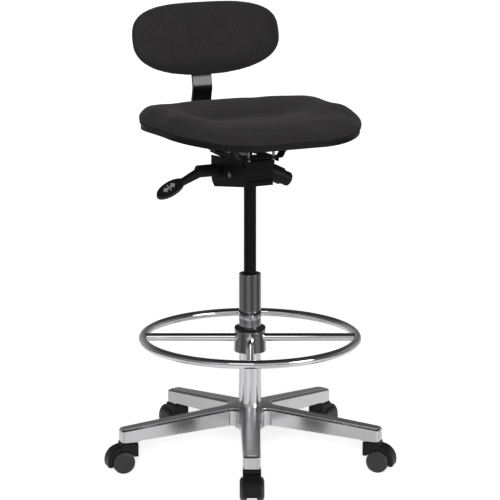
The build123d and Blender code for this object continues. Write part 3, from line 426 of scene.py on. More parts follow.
def cloth_material(finishes):
    """Woven upholstery cloth with darker and lighter threads and faint fading."""
    _, tree, shader = new_material("black_upholstery_cloth")
    weave = placed(tree, "Plain Weave", Pitch=finishes.thread_pitch)
    dark = tuple(c * 0.55 for c in finishes.fabric)
    light = tuple(c * 1.55 for c in finishes.fabric)
    threads = blended(tree, weave.outputs["Thread Shade"], dark, light)
    faded = tuple(c * 3.0 for c in finishes.fabric)
    share = maths(tree, "MULTIPLY", weave.outputs["Slub"], 0.5)
    tree.links.new(blended(tree, share, threads, faded), shader.inputs["Base Color"])
    tree.links.new(
        blended(tree, weave.outputs["Slub"], 0.82, 0.97), shader.inputs["Roughness"]
    )
    shader.inputs["Sheen Weight"].default_value = 0.05
    shader.inputs["Sheen Roughness"].default_value = 0.45
    shader.inputs["Sheen Tint"].default_value = (0.95, 0.90, 0.90, 1.0)
    shader.inputs["Specular IOR Level"].default_value = 0.12
    bumped(tree, shader, weave.outputs["Height"], 0.00028, 0.7)


SLOT_MATERIALS = {
    "polished_aluminium": "polished_base_metal",
    "chrome": "chrome_plate",
    "bright_steel": "bright_plated_steel",
    "black_steel": "black_powder_coat",
    "black_gloss_steel": "black_gloss_paint",
    "black_plastic": "black_moulded_plastic",
    "wheel_plastic": "caster_wheel_plastic",
    "white_plastic": "natural_guide_plastic",
    "red_button": "red_moulded_cap",
    "seat_fabric": "black_upholstery_cloth",
}


def slot_material(slot):
    """The finished material of one of the record's slots."""
    return bpy.data.materials[SLOT_MATERIALS[slot]]


def finish_nodes(slots):
    """Give every CAD node of these record slots its finished material."""
    nodes = [s for s in frame["record"]["subparts"] if s["material_slot"] in slots]
    if not nodes:
        raise RuntimeError(f"no node of the frame uses {sorted(slots)}")
    for subpart in nodes:
        mesh = frame["nodes"][subpart["node"]].data
        mesh.materials.clear()
        mesh.materials.append(slot_material(subpart["material_slot"]))


# ---------- mesh helpers
def new_piece(name, points, faces, material, smooth=True):
    """A mesh object from points in metres, in the chair's own frame."""
    mesh = bpy.data.meshes.new(name)
    mesh.from_pydata([tuple(p) for p in points], [], faces)
    mesh.validate()
    mesh.update()
    mesh.materials.append(material)
    if smooth:
        mesh.shade_smooth()
    piece = bpy.data.objects.new(name, mesh)
    bpy.context.scene.collection.objects.link(piece)
    return piece


def bridged(rings):
    """Points and faces of a skin through rings of equal length, capped at both ends."""
    count = len(rings[0])
    points = [p for ring in rings for p in ring]
    faces = []
    for r in range(len(rings) - 1):
        low, high = r * count, (r + 1) * count
        for i in range(count):
            j = (i + 1) % count
            faces.append((low + i, low + j, high + j, high + i))
    last = (len(rings) - 1) * count
    faces.append(tuple(reversed(range(count))))
    faces.append(tuple(last + i for i in range(count)))
    return points, faces


def smoothstep(low, high, value):
    """0 below low, 1 above high and a smooth rise between them."""
    t = min(1.0, max(0.0, (value - low) / (high - low)))
    return t * t * (3 - 2 * t)


def evenly_spaced(points, count):
    """The closed line through the points, at count even steps."""
    line = np.array([*points, points[0]])
    along = np.concatenate([[0], np.cumsum(np.hypot(*np.diff(line, axis=0).T))])
    places = np.linspace(0, along[-1], count, endpoint=False)
    return np.column_stack(
        [np.interp(places, along, line[:, 0]), np.interp(places, along, line[:, 1])]
    )


def rounded_outline(width, depth, corner, count):
    """Points of a rounded rectangle with even spacing, counter-clockwise from +X."""
    half_x, half_y = width / 2, depth / 2
    flat_x, flat_y = half_x - corner, half_y - corner
    dense = []
    for centre, start in (
        ((flat_x, flat_y), 0), ((-flat_x, flat_y), 90),
        ((-flat_x, -flat_y), 180), ((flat_x, -flat_y), 270),
    ):
        for step in range(61):
            angle = math.radians(start + 90 * step / 60)
            dense.append(
                (centre[0] + corner * math.cos(angle), centre[1] + corner * math.sin(angle))
            )
    return evenly_spaced(dense, count)


def modifier_applied(piece):
    """Replace the piece's mesh by what its modifiers make of it."""
    graph = bpy.context.evaluated_depsgraph_get()
    graph.update()
    made = bpy.data.meshes.new_from_object(piece.evaluated_get(graph), depsgraph=graph)
    piece.modifiers.clear()
    piece.data = made


COVER_MASS = 0.4
COVER_STRETCH = 18
COVER_BENDING = 1.2
EVENING_ROUNDS = 14


def evened(mesh, moved, rounds):
    """Each vertex's movement averaged with its neighbours', so a taut cover keeps no creases."""
    ends = np.array([e.vertices[:] for e in mesh.edges])
    links = np.bincount(ends.ravel(), minlength=len(moved))[:, None]
    for _ in range(rounds):
        around = np.zeros_like(moved)
        np.add.at(around, ends[:, 0], moved[ends[:, 1]])
        np.add.at(around, ends[:, 1], moved[ends[:, 0]])
        moved = 0.5 * moved + 0.5 * around / links
    return moved


def settled(piece, pinned, pressure, frames, cap, voxel):
    """Let the cover settle over its filling as simulated cloth, then keep the result.

    pinned gives the seam's hold on a point, from 0 to 1. No point moves further than cap.
    """
    remesh = piece.modifiers.new("even mesh", "REMESH")
    remesh.mode = "VOXEL"
    remesh.voxel_size = voxel
    modifier_applied(piece)
    smooth = piece.modifiers.new("even surface", "SMOOTH")
    smooth.factor = 0.5
    smooth.iterations = 6
    modifier_applied(piece)
    before = np.array([v.co for v in piece.data.vertices])
    held = piece.vertex_groups.new(name="seam")
    for vertex in piece.data.vertices:
        share = pinned(vertex.co)
        if share > 0:
            held.add([vertex.index], share, "REPLACE")
    cloth = piece.modifiers.new("cover", "CLOTH")
    cloth.settings.quality = 5
    cloth.settings.mass = COVER_MASS
    cloth.settings.tension_stiffness = COVER_STRETCH
    cloth.settings.compression_stiffness = COVER_STRETCH
    cloth.settings.bending_stiffness = COVER_BENDING
    cloth.settings.use_pressure = True
    cloth.settings.uniform_pressure_force = pressure
    cloth.settings.vertex_group_mass = "seam"
    cloth.settings.effector_weights.gravity = 0
    cloth.point_cache.frame_start = 1
    cloth.point_cache.frame_end = frames
    scene = bpy.context.scene
    for step in range(1, frames + 1):
        scene.frame_set(step)
    modifier_applied(piece)
    after = np.array([v.co for v in piece.data.vertices])
    moved = evened(piece.data, after - before, EVENING_ROUNDS)
    distance = np.linalg.norm(moved, axis=1)
    scale = np.minimum(1.0, cap / np.maximum(distance, 1e-9))
    kept = before + moved * scale[:, None]
    piece.data.vertices.foreach_set("co", kept.ravel())
    piece.data.update()
    scene.frame_set(1)
    piece.vertex_groups.clear()


def subdivided(piece):
    """One smooth subdivision, applied."""
    finer = piece.modifiers.new("finer", "SUBSURF")
    finer.levels = finer.render_levels = 1
    modifier_applied(piece)
    piece.data.shade_smooth()


def tube_along(name, path, radius, material, sides=10, closed=True):
    """A round bead or wire along a line of points, closed or with flat ends."""
    count = len(path)
    points, faces = [], []
    for i in range(count):
        here = Vector(path[i])
        before, after = ((i - 1) % count, (i + 1) % count)
        if not closed:
            before, after = max(i - 1, 0), min(i + 1, count - 1)
        ahead = (Vector(path[after]) - Vector(path[before])).normalized()
        side = ahead.cross(Vector((0, 0, 1))).normalized()
        up = side.cross(ahead).normalized()
        for s in range(sides):
            angle = 2 * math.pi * s / sides
            out, over = radius * math.cos(angle), radius * math.sin(angle)
            points.append(here + side * out + up * over)
    for i in range(count if closed else count - 1):
        j = (i + 1) % count
        for s in range(sides):
            t = (s + 1) % sides
            faces.append((i * sides + s, i * sides + t, j * sides + t, j * sides + s))
    if not closed:
        faces.append(tuple(reversed(range(sides))))
        faces.append(tuple((count - 1) * sides + s for s in range(sides)))
    return new_piece(name, points, faces, material)


# ---------- seat
SEAM_POINTS = ((-0.220, 0.7545), (-0.140, 0.767), (-0.060, 0.7715), (0.0, 0.773), (0.220, 0.773))
CREST_POINTS = (
    (-0.220, 0.771), (-0.180, 0.7795), (-0.130, 0.7875), (-0.070, 0.789),
    (0.0, 0.787), (0.060, 0.789), (0.110, 0.794), (0.160, 0.7985), (0.220, 0.800),
)

SEAM_INSET = 0.003  # the seam lies this far inside the seat's outline
SEAM_TUCK = 0.003  # the pad's base goes this far below the seam, inside the shell
SIDE_BULGE = 0.0058  # the side swells out by this much above the seam
SEAT_SETTLING = 0.0025  # furthest that a point of the cover settles
SEAT_VOXEL = 0.0055
BEAD_RADIUS = 0.0018
BEAD_INSET = 0.003
BOLSTER_SLOPE = (0.095, 0.205)  # sideways, where the bolsters rise
BOLSTER_START = (-0.140, -0.030)  # lengthwise, where they begin
BOLSTER_END = (0.040, 0.190)  # and where they sink to a quarter
DISH_SLOPE = (0.05, 0.190)  # sideways, where the hollow runs out
DISH_PLACE = 0.045
DISH_LENGTH = 0.070


def line_height(points, place):
    """Height at a place along a smooth line through (place, height) points."""
    places = [p[0] for p in points]
    heights = [p[1] for p in points]
    slopes = np.gradient(heights, places)
    i = int(np.clip(np.searchsorted(places, place) - 1, 0, len(places) - 2))
    span = places[i + 1] - places[i]
    t = min(1.0, max(0.0, (place - places[i]) / span))
    return (
        (2 * t**3 - 3 * t**2 + 1) * heights[i]
        + (t**3 - 2 * t**2 + t) * span * slopes[i]
        + (3 * t**2 - 2 * t**3) * heights[i + 1]
        + (t**3 - t**2) * span * slopes[i + 1]
    )


def seat_crest(x, y, sizes):
    """Height of the pad's top, before its edge rolls over."""
    side = smoothstep(*BOLSTER_SLOPE, abs(x))
    lengthwise = smoothstep(*BOLSTER_START, y) * (1 - 0.75 * smoothstep(*BOLSTER_END, y))
    hollow = math.exp(-(((y - DISH_PLACE) / DISH_LENGTH) ** 2))
    hollow = (1 - smoothstep(*DISH_SLOPE, abs(x))) * hollow
    return line_height(CREST_POINTS, y) + sizes.bolster * side * lengthwise - sizes.dish * hollow


def build_seat_pad(sizes):
    """Rings from the seam up over the rolled edge to the middle of the seat."""
    outline = rounded_outline(
        SEAT_WIDTH - 2 * SEAM_INSET, SEAT_DEPTH - 2 * SEAM_INSET, sizes.corner - SEAM_INSET, 180
    )
    rings = []
    for share in (0.55, 0.9, 0.985):
        rings.append(
            [(x * share, y * share, line_height(SEAM_POINTS, y) - SEAM_TUCK) for x, y in outline]
        )
    for share in (0.0, 0.02, 0.06, 0.12, 0.2, 0.3, 0.42, 0.56, 0.72, 0.88, 1.0):
        ring = []
        angle = share * math.pi / 2
        for x, y in outline:
            reach = math.hypot(x, y)
            inward = sizes.edge * (1 - math.cos(angle)) / reach
            bulge = SIDE_BULGE * math.sin(min(1.0, share * 2.2) * math.pi) / reach
            px, py = x * (1 - inward + bulge), y * (1 - inward + bulge)
            seam = line_height(SEAM_POINTS, py)
            top = seat_crest(px, py, sizes)
            ring.append((px, py, seam + (top - seam) * math.sin(angle) ** 0.92))
        rings.append(ring)
    edge = rings[-1]
    for share in (0.93, 0.86, 0.78, 0.69, 0.6, 0.5, 0.4, 0.3, 0.2, 0.1, 0.03):
        ring = [
            (x * share, y * share, seat_crest(x * share, y * share, sizes)) for x, y, z in edge
        ]
        rings.append(ring)
    points, faces = bridged(rings)
    return new_piece("seat_pad", points, faces, slot_material("seat_fabric"))


class CHAIR_OT_seat_pad(bpy.types.Operator):
    """Upholstered seat pad, settled as cloth over its foam."""

    bl_idname = "chair.seat_pad"
    bl_label = "Seat pad"

    def execute(self, context):
        sizes = context.scene.chair_seat
        pad = build_seat_pad(sizes)
        settled(
            pad,
            lambda p: 1 - smoothstep(0.001, 0.007, p.z - line_height(SEAM_POINTS, p.y)),
            sizes.pressure,
            sizes.frames,
            SEAT_SETTLING,
            SEAT_VOXEL,
        )
        subdivided(pad)
        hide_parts("seat_cushion")
        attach(pad, "seat")
        return {"FINISHED"}


class CHAIR_OT_seat_trim(bpy.types.Operator):
    """Bead along the seam between the seat pad and its shell."""

    bl_idname = "chair.seat_trim"
    bl_label = "Seat trim"

    def execute(self, context):
        sizes = context.scene.chair_seat
        outline = rounded_outline(
            SEAT_WIDTH - 2 * BEAD_INSET, SEAT_DEPTH - 2 * BEAD_INSET, sizes.corner, 240
        )
        path = [(x, y, line_height(SEAM_POINTS, y) - 0.0004) for x, y in outline]
        bead = tube_along("seat_bead", path, BEAD_RADIUS, slot_material("black_plastic"))
        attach(bead, "seat")
        return {"FINISHED"}


# ---------- backrest
PAD_STEPS = 16
PAD_FULLNESS = 0.62  # lower values give a flatter face with a tighter edge
PAD_LIP = 0.004  # height of the straight side above the rear seam
PAD_TUCK = 0.022  # share by which the seam is drawn in
PAD_SETTLING = 0.003
PAD_VOXEL = 0.005
SHELL_THICKNESS = 0.006
SHELL_OVERLAP = 0.0005  # the shell's rim reaches this far past the pad's seam
SHELL_RIM = (  # share of the pad's outline, height above the shell's rear face
    (0.10, 0.0), (0.30, 0.0), (0.50, 0.0), (0.66, 0.0), (0.70, 0.0), (0.715, 0.0012),
    (0.86, 0.0014), (0.925, 0.0020), (0.945, 0.0032), (0.952, 0.0045),
    (0.952, SHELL_THICKNESS), (0.60, SHELL_THICKNESS), (0.10, SHELL_THICKNESS),
)


def back_outline(sizes):
    """The pad's outline, squarer at its top corners than at its bottom ones, evenly spaced."""
    dense = []
    for step in range(720):
        across = math.cos(2 * math.pi * step / 720)
        up = math.sin(2 * math.pi * step / 720)
        power = sizes.top_power if up > 0 else sizes.bottom_power
        dense.append((
            math.copysign(abs(across) ** (2 / power), across) * sizes.width / 2,
            math.copysign(abs(up) ** (2 / power), up) * sizes.height / 2,
        ))
    return evenly_spaced(dense, 160)


def wrapped(sizes, x):
    """How far forward the pad and its shell curve at a distance from their middle."""
    return sizes.wrap * (x / (sizes.width / 2)) ** 2


def on_bar(sizes, rings):
    """Rings from the pad's own frame (across, up the bar, forward) to the chair's."""
    return [
        [BACK_FRAME @ Vector((x, y + sizes.centre, z + wrapped(sizes, x))) for x, y, z in ring]
        for ring in rings
    ]


def build_back_pad(sizes):
    """Rings from the rear seam round the swollen side to the middle of the face."""
    outline = back_outline(sizes)
    depth = sizes.front - sizes.rear - PAD_LIP
    rings = [
        [(x * share, y * share, sizes.rear) for x, y in outline] for share in (0.5, 0.9, 0.965)
    ]
    for step in range(PAD_STEPS + 1):
        angle = math.pi / 2 * step / PAD_STEPS
        share = math.cos(angle) ** PAD_FULLNESS
        tuck = 1 - PAD_TUCK * max(0.0, 1 - step / 3) ** 2
        height = sizes.rear + PAD_LIP + depth * math.sin(angle) ** PAD_FULLNESS
        rings.append([(x * share * tuck, y * share * tuck, height) for x, y in outline])
    rings[-1] = [(x * 0.04, y * 0.04, sizes.front) for x, y in outline]
    points, faces = bridged(on_bar(sizes, rings))
    return new_piece("back_pad", points, faces, slot_material("seat_fabric"))


def build_back_shell(sizes):
    """Moulded shell behind the pad, curved with it, with a rolled rim and a raised panel."""
    outline = back_outline(sizes)
    rear = sizes.rear + SHELL_OVERLAP - SHELL_THICKNESS
    rings = [
        [(x * share, y * share, rear + rise) for x, y in outline] for share, rise in SHELL_RIM
    ]
    points, faces = bridged(on_bar(sizes, rings))
    return new_piece("back_shell", points, faces, slot_material("black_plastic"))


class CHAIR_OT_back_pad(bpy.types.Operator):
    """Upholstered backrest pad, settled as cloth over its foam, and the shell behind it."""

    bl_idname = "chair.back_pad"
    bl_label = "Backrest pad"

    def execute(self, context):
        sizes = context.scene.chair_back
        pad = build_back_pad(sizes)
        to_bar = BACK_FRAME.inverted()
        settled(
            pad,
            lambda p: 1 - smoothstep(
                0.003, 0.010, (to_bar @ p).z - sizes.rear - wrapped(sizes, p.x)
            ),
            context.scene.chair_seat.pressure,
            context.scene.chair_seat.frames,
            PAD_SETTLING,
            PAD_VOXEL,
        )
        subdivided(pad)
        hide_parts("backrest_cushion")
        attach(pad, "backrest")
        shell = build_back_shell(sizes)
        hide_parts("backrest_shell")
        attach(shell, "backrest")
        return {"FINISHED"}


# ---------- tilt spring
SPRING_WIRE = 0.0018
SPRING_TURNS = 9.5
SPRING_END_TURNS = 0.75  # at each end the wire lies flat for this many turns


class CHAIR_OT_tilt_spring(bpy.types.Operator):
    """Coil spring with closed ends."""

    bl_idname = "chair.tilt_spring"
    bl_label = "Tilt spring"

    def execute(self, context):
        low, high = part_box("tilt_spring")
        centre = (low + high) / 2
        radius = (high.x - low.x) / 2 - SPRING_WIRE
        rise = high.z - low.z - 2 * SPRING_WIRE
        path = []
        steps = int(SPRING_TURNS * 36)
        for step in range(steps + 1):
            turn = SPRING_TURNS * step / steps
            climbed = (turn - SPRING_END_TURNS) / (SPRING_TURNS - 2 * SPRING_END_TURNS)
            angle = 2 * math.pi * turn
            path.append((
                centre.x + radius * math.cos(angle),
                centre.y + radius * math.sin(angle),
                low.z + SPRING_WIRE + rise * min(1.0, max(0.0, climbed)),
            ))
        spring = tube_along(
            "coil_spring", path, SPRING_WIRE, slot_material("bright_steel"), closed=False
        )
        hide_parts("tilt_spring")
        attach(spring, "lift")
        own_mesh(spring)
        return {"FINISHED"}


# ---------- lever mark
MARK_SHAPES = (
    ((-0.0165, 0.0), (-0.0085, -0.0075), (-0.0085, -0.0028), (-0.0030, -0.0028), (-0.0030, 0.0028),
     (-0.0085, 0.0028), (-0.0085, 0.0075)),
    ((-0.0012, -0.0085), (0.0012, -0.0085), (0.0012, 0.0085), (-0.0012, 0.0085)),
    ((0.0165, 0.0), (0.0085, 0.0075), (0.0085, 0.0028), (0.0030, 0.0028), (0.0030, -0.0028),
     (0.0085, -0.0028), (0.0085, -0.0075)),
)
MARK_THICKNESS = 0.0004
PADDLE_INNER_X = -0.124  # the paddle is the part of the grip beyond this


def paddle_frame():
    """Middle, long axis, short axis and face direction of the height lever's paddle."""
    mesh = frame["nodes"]["height_lever_grip"].data
    points = np.array([v.co for v in mesh.vertices])
    points = points[points[:, 0] < PADDLE_INNER_X]
    middle = (points.min(axis=0) + points.max(axis=0)) / 2
    axes = np.linalg.svd(points - points.mean(axis=0), full_matrices=False)[2]
    long_axis, face = Vector(axes[0]), Vector(axes[2])
    if face.y > 0:
        face = -face
    middle = Vector(middle)
    reach = max((Vector(p) - middle).dot(face) for p in points)
    return middle + face * reach, long_axis, face.cross(long_axis), face


class CHAIR_OT_lever_mark(bpy.types.Operator):
    """Raised up-and-down arrows on the height lever's paddle."""

    bl_idname = "chair.lever_mark"
    bl_label = "Lever mark"

    def execute(self, context):
        middle, along, across, face = paddle_frame()
        points, faces = [], []
        for shape in MARK_SHAPES:
            start, count = len(points), len(shape)
            for lift in (-MARK_THICKNESS, MARK_THICKNESS):
                points += [middle + along * u + across * v + face * lift for u, v in shape]
            faces.append(tuple(start + i for i in reversed(range(count))))
            faces.append(tuple(start + count + i for i in range(count)))
            for i in range(count):
                j = (i + 1) % count
                faces.append((start + i, start + j, start + count + j, start + count + i))
        mark = new_piece("lever_mark", points, faces, bpy.data.materials["pale_print"], False)
        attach(mark, "height_lever")
        return {"FINISHED"}


# ---------- finishes
class CHAIR_OT_materials(bpy.types.Operator):
    """Shared effects and the chair's materials."""

    bl_idname = "chair.materials"
    bl_label = "Materials"

    def execute(self, context):
        finishes = context.scene.chair_finishes
        make_edge_wear_and_highlight()
        make_moulded_grain()
        make_handling_marks()
        make_plain_weave()
        bright_metal("polished_base_metal", tuple(finishes.aluminium), 0.13, 0.24, 0.0012)
        bright_metal("chrome_plate", tuple(finishes.chrome), 0.035, 0.09, 0.0006, 0.000008)
        bright_metal("bright_plated_steel", tuple(finishes.steel), 0.22, 0.38, 0.0005)
        # second colour of each finish is its edge colour: partly rubbed wear and partly a painted
        # highlight
        coated(
            "black_powder_coat", tuple(finishes.powder_coat), (0.035, 0.035, 0.035),
            0.42, 0.58, 700.0, 0.00012, 0.0008, specular=0.12,
        )
        coated(
            "black_gloss_paint", tuple(finishes.gloss_paint), (0.03, 0.03, 0.03),
            0.16, 0.24, 350.0, 0.00001, 0.0007, coat=0.10,
        )
        coated(
            "black_moulded_plastic", tuple(finishes.plastic), (0.03, 0.03, 0.031),
            0.38, 0.52, 950.0, 0.00008, 0.0008, specular=0.22,
        )
        coated(
            "caster_wheel_plastic", tuple(finishes.wheel), (0.05, 0.05, 0.05),
            0.34, 0.50, 600.0, 0.00005, 0.0009,
        )
        coated(
            "natural_guide_plastic", (0.72, 0.72, 0.69), (0.8, 0.8, 0.78),
            0.30, 0.45, 800.0, 0.00003, 0.0005,
        )
        coated(
            "red_moulded_cap", (0.42, 0.035, 0.03), (0.55, 0.12, 0.1),
            0.30, 0.42, 800.0, 0.00003, 0.0005,
        )
        coated(
            "pale_print", (0.16, 0.16, 0.165), (0.25, 0.25, 0.25),
            0.35, 0.5, 900.0, 0.00003, 0.0003,
        )
        cloth_material(finishes)
        return {"FINISHED"}


class CHAIR_OT_metalwork(bpy.types.Operator):
    """Finish the base, column, foot ring and other bright metal."""

    bl_idname = "chair.metalwork"
    bl_label = "Bright metalwork"

    def execute(self, context):
        finish_nodes({"polished_aluminium", "chrome", "bright_steel"})
        return {"FINISHED"}


class CHAIR_OT_mechanism(bpy.types.Operator):
    """Finish the tilt mechanism, gas cylinder and back bar."""

    bl_idname = "chair.mechanism"
    bl_label = "Mechanism"

    def execute(self, context):
        finish_nodes({"black_steel", "black_gloss_steel", "white_plastic", "red_button"})
        return {"FINISHED"}


class CHAIR_OT_mouldings(bpy.types.Operator):
    """Finish the shells, levers, casters and other mouldings."""

    bl_idname = "chair.mouldings"
    bl_label = "Mouldings"

    def execute(self, context):
        finish_nodes({"black_plastic", "wheel_plastic", "seat_fabric"})
        return {"FINISHED"}


# ---------- studio
WINDOW_WAY = (0.450, -0.862, 0.235)  # where the leaning part of the back bar mirrors
FLOOR_TONES = ((0.93, 0.93, 0.93), (0.955, 0.955, 0.955))
FLOOR_BOUNCE = (0.22, 0.22, 0.22)  # its colour for the light that it throws on the chair
FLOOR_GLOW = (0.62, 0.62, 0.62)  # keeps the floor pale under the chair
NEAR_TONES = ((0.70, 0.70, 0.70), (0.92, 0.92, 0.92))  # in reflections, near the chair
FAR_TONES = ((0.06, 0.06, 0.062), (0.16, 0.16, 0.16))  # in reflections, further off
BEHIND_TONE = (0.45, 0.45, 0.45)  # in reflections, further off behind the chair
MIRROR_GLOW = 0.35
AIR_LEVEL = (0.21, 0.21, 0.21)
FRONT_LEVEL = 0.45
WINDOW_LEVEL = 5.5
ROOM_LEVEL = 0.26
ROOM_SWING = 0.10
ROOF_LEVEL = 0.05


def floor_material(sizes):
    """Pale floor. In reflections it is bright near the chair and darker further off."""
    material, tree, shader = new_material("pale_floor")
    place = object_place(tree)
    tone = blended(tree, noise(tree, place, 1.3, 3.0), *FLOOR_TONES)
    measure = tree.nodes.new("ShaderNodeVectorMath")
    measure.operation = "LENGTH"
    tree.links.new(place, measure.inputs[0])
    reach = measure.outputs["Value"]
    far = ramped(tree, reach, sizes.pool, sizes.pool * 1.35)
    parts = tree.nodes.new("ShaderNodeSeparateXYZ")
    tree.links.new(place, parts.inputs[0])
    turn = maths(tree, "ARCTAN2", parts.outputs[1], parts.outputs[0])
    band = maths(tree, "SINE", maths(tree, "ADD", maths(tree, "MULTIPLY", turn, 5.0), 0.6))
    band = maths(tree, "ADD", maths(tree, "MULTIPLY", band, 0.5), 0.5)
    forward = maths(
        tree, "ADD",
        maths(tree, "MULTIPLY", parts.outputs[0], -math.sin(sizes.azimuth)),
        maths(tree, "MULTIPLY", parts.outputs[1], -math.cos(sizes.azimuth)),
    )
    behind = ramped(tree, maths(tree, "DIVIDE", forward, reach), -0.35, -0.75)
    distant = blended(tree, behind, blended(tree, band, *FAR_TONES), BEHIND_TONE)
    mirrored = blended(tree, far, blended(tree, band, *NEAR_TONES), distant)
    ray = tree.nodes.new("ShaderNodeLightPath").outputs
    seen = blended(tree, ray["Is Diffuse Ray"], tone, FLOOR_BOUNCE)
    tree.links.new(
        blended(tree, ray["Is Glossy Ray"], seen, mirrored), shader.inputs["Base Color"]
    )
    lift = maths(tree, "MULTIPLY", ray["Is Glossy Ray"], MIRROR_GLOW)
    glow = blended(tree, lift, (0.0, 0.0, 0.0), mirrored)
    tree.links.new(
        blended(tree, ray["Is Camera Ray"], glow, FLOOR_GLOW), shader.inputs["Emission Color"]
    )
    shader.inputs["Emission Strength"].default_value = 1.0
    shader.inputs["Roughness"].default_value = 0.9
    shader.inputs["Specular IOR Level"].default_value = 0.1
    return material


def studio_air(sizes):
    """Even light for matt surfaces; a darker room with a bright front for reflections."""
    world = bpy.data.worlds.new("studio_air")
    world.use_nodes = True
    air = world.node_tree
    back = next(n for n in air.nodes if n.type == "BACKGROUND")
    way = air.nodes.new("ShaderNodeTexCoord").outputs["Generated"]
    split = air.nodes.new("ShaderNodeSeparateXYZ")
    air.links.new(way, split.inputs[0])
    rise = split.outputs[2]
    facing = dotted(air, way, (-math.sin(sizes.azimuth), -math.cos(sizes.azimuth), 0.0))
    front = maths(air, "MULTIPLY", ramped(air, facing, 0.50, 0.85), FRONT_LEVEL)
    low_band = maths(air, "SUBTRACT", 1.0, ramped(air, rise, 0.45, 0.75))
    front = maths(air, "MULTIPLY", front, low_band)
    window = ramped(air, dotted(air, way, WINDOW_WAY), 0.965, 0.985)
    front = maths(air, "ADD", front, maths(air, "MULTIPLY", window, WINDOW_LEVEL))
    turn = maths(air, "ARCTAN2", split.outputs[1], split.outputs[0])
    band = maths(air, "SINE", maths(air, "ADD", maths(air, "MULTIPLY", turn, 4.0), 1.1))
    band = maths(air, "ADD", maths(air, "MULTIPLY", band, ROOM_SWING), ROOM_LEVEL)
    height = ramped(air, rise, 0.15, 0.60)
    room = blended(air, height, band, 0.0)
    room = maths(air, "ADD", room, maths(air, "MULTIPLY", height, ROOF_LEVEL))
    room = maths(air, "ADD", room, front)
    ray = air.nodes.new("ShaderNodeLightPath").outputs
    even = blended(air, ray["Is Glossy Ray"], AIR_LEVEL, (0.0, 0.0, 0.0))
    total = air.nodes.new("ShaderNodeMix")
    total.data_type = "RGBA"
    total.blend_type = "ADD"
    total.inputs[0].default_value = 1.0
    air.links.new(even, total.inputs[6])
    air.links.new(maths(air, "MULTIPLY", room, ray["Is Glossy Ray"]), total.inputs[7])
    backdrop = blended(air, ray["Is Camera Ray"], total.outputs[2], (1.0, 1.0, 1.0))
    air.links.new(backdrop, back.inputs["Color"])
    return world


def soft_sun(name, way, strength, spread):
    """Even soft light from a direction, which bright metal doesn't mirror."""
    data = bpy.data.lights.new(name, "SUN")
    data.energy = strength
    data.angle = math.radians(spread)
    light = bpy.data.objects.new(name, data)
    light.rotation_euler = Vector(way).to_track_quat("Z", "Y").to_euler()
    light.visible_glossy = False
    bpy.context.scene.collection.objects.link(light)


def area_light(name, place, target, size, power):
    """A square softbox that points at a target."""
    data = bpy.data.lights.new(name, "AREA")
    data.size = size
    data.energy = power
    light = bpy.data.objects.new(name, data)
    light.location = place
    light.rotation_euler = (Vector(place) - Vector(target)).to_track_quat("Z", "Y").to_euler()
    bpy.context.scene.collection.objects.link(light)
    return light


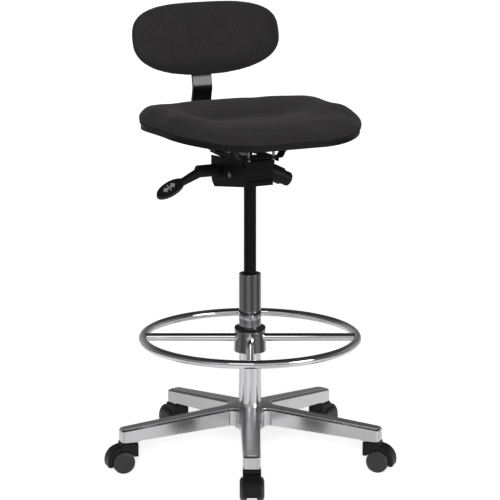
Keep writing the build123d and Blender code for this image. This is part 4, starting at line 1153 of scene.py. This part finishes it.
class CHAIR_OT_studio(bpy.types.Operator):
    """Pale floor, soft lights and the camera."""

    bl_idname = "chair.studio"
    bl_label = "Studio"

    def execute(self, context):
        sizes = context.scene.chair_studio
        ring = 96
        radii = (1.5, 6.0, 25.0, sizes.floor)
        points = [(0.0, 0.0, 0.0)]
        for radius in radii:
            for i in range(ring):
                angle = 2 * math.pi * i / ring
                points.append((radius * math.cos(angle), radius * math.sin(angle), 0.0))
        faces = [(0, 1 + i, 1 + (i + 1) % ring) for i in range(ring)]
        for r in range(len(radii) - 1):
            low, high = 1 + r * ring, 1 + (r + 1) * ring
            for i in range(ring):
                j = (i + 1) % ring
                faces.append((low + i, high + i, high + j, low + j))
        floor = new_piece("studio_floor", points, faces, floor_material(sizes), smooth=False)
        context.scene.world = studio_air(sizes)
        soft_sun("front_sun", (-0.42, -0.80, 0.30), sizes.front_light, 24)
        soft_sun("overhead_sun", (0.45, -0.1, 1.6), sizes.top_light, 100)
        softbox = area_light("softbox", (-1.9, -2.6, 2.3), (0, 0, 0.6), 1.5, sizes.softbox)
        softbox.visible_camera = False

        data = bpy.data.cameras.new("view")
        data.sensor_width = 36.0
        data.lens = sizes.lens
        data.clip_end = 400.0
        camera = bpy.data.objects.new("view", data)
        camera.location = (
            -sizes.distance * math.sin(sizes.azimuth),
            -sizes.distance * math.cos(sizes.azimuth),
            sizes.height,
        )
        camera.rotation_euler = (math.pi / 2 - sizes.pitch, 0, -sizes.azimuth)
        context.scene.collection.objects.link(camera)
        context.scene.camera = camera
        context.scene.view_settings.view_transform = "Standard"
        return {"FINISHED"}


class CHAIR_PT_sidebar(bpy.types.Panel):
    """Lists the chair's pieces and their settings."""

    bl_idname = "CHAIR_PT_sidebar"
    bl_label = "Drafting chair"
    bl_space_type = "VIEW_3D"
    bl_region_type = "UI"
    bl_category = "Chair"

    def draw(self, context):
        for settings in ("chair_finishes", "chair_seat", "chair_back", "chair_studio"):
            group = getattr(context.scene, settings)
            box = self.layout.box()
            for name in group.bl_rna.properties.keys():
                if name not in ("rna_type", "name"):
                    box.prop(group, name)
        for operator in OPERATORS:
            self.layout.operator(operator.bl_idname)


SETTINGS = (
    ("chair_finishes", ChairFinishes),
    ("chair_seat", SeatPadSizes),
    ("chair_back", BackPadSizes),
    ("chair_studio", StudioSizes),
)
OPERATORS = (
    CHAIR_OT_studio,
    CHAIR_OT_materials,
    CHAIR_OT_metalwork,
    CHAIR_OT_mechanism,
    CHAIR_OT_mouldings,
    CHAIR_OT_seat_pad,
    CHAIR_OT_seat_trim,
    CHAIR_OT_back_pad,
    CHAIR_OT_tilt_spring,
    CHAIR_OT_lever_mark,
)


def register():
    for name, group in SETTINGS:
        bpy.utils.register_class(group)
        setattr(bpy.types.Scene, name, PointerProperty(type=group))
    for operator in OPERATORS:
        bpy.utils.register_class(operator)
    bpy.utils.register_class(CHAIR_PT_sidebar)


def unregister():
    bpy.utils.unregister_class(CHAIR_PT_sidebar)
    for operator in reversed(OPERATORS):
        bpy.utils.unregister_class(operator)
    for name, group in reversed(SETTINGS):
        delattr(bpy.types.Scene, name)
        bpy.utils.unregister_class(group)


def main():
    register()
    for operator in OPERATORS:
        family, name = operator.bl_idname.split(".")
        getattr(getattr(bpy.ops, family), name)()


if __name__ == "__main__":
    main()
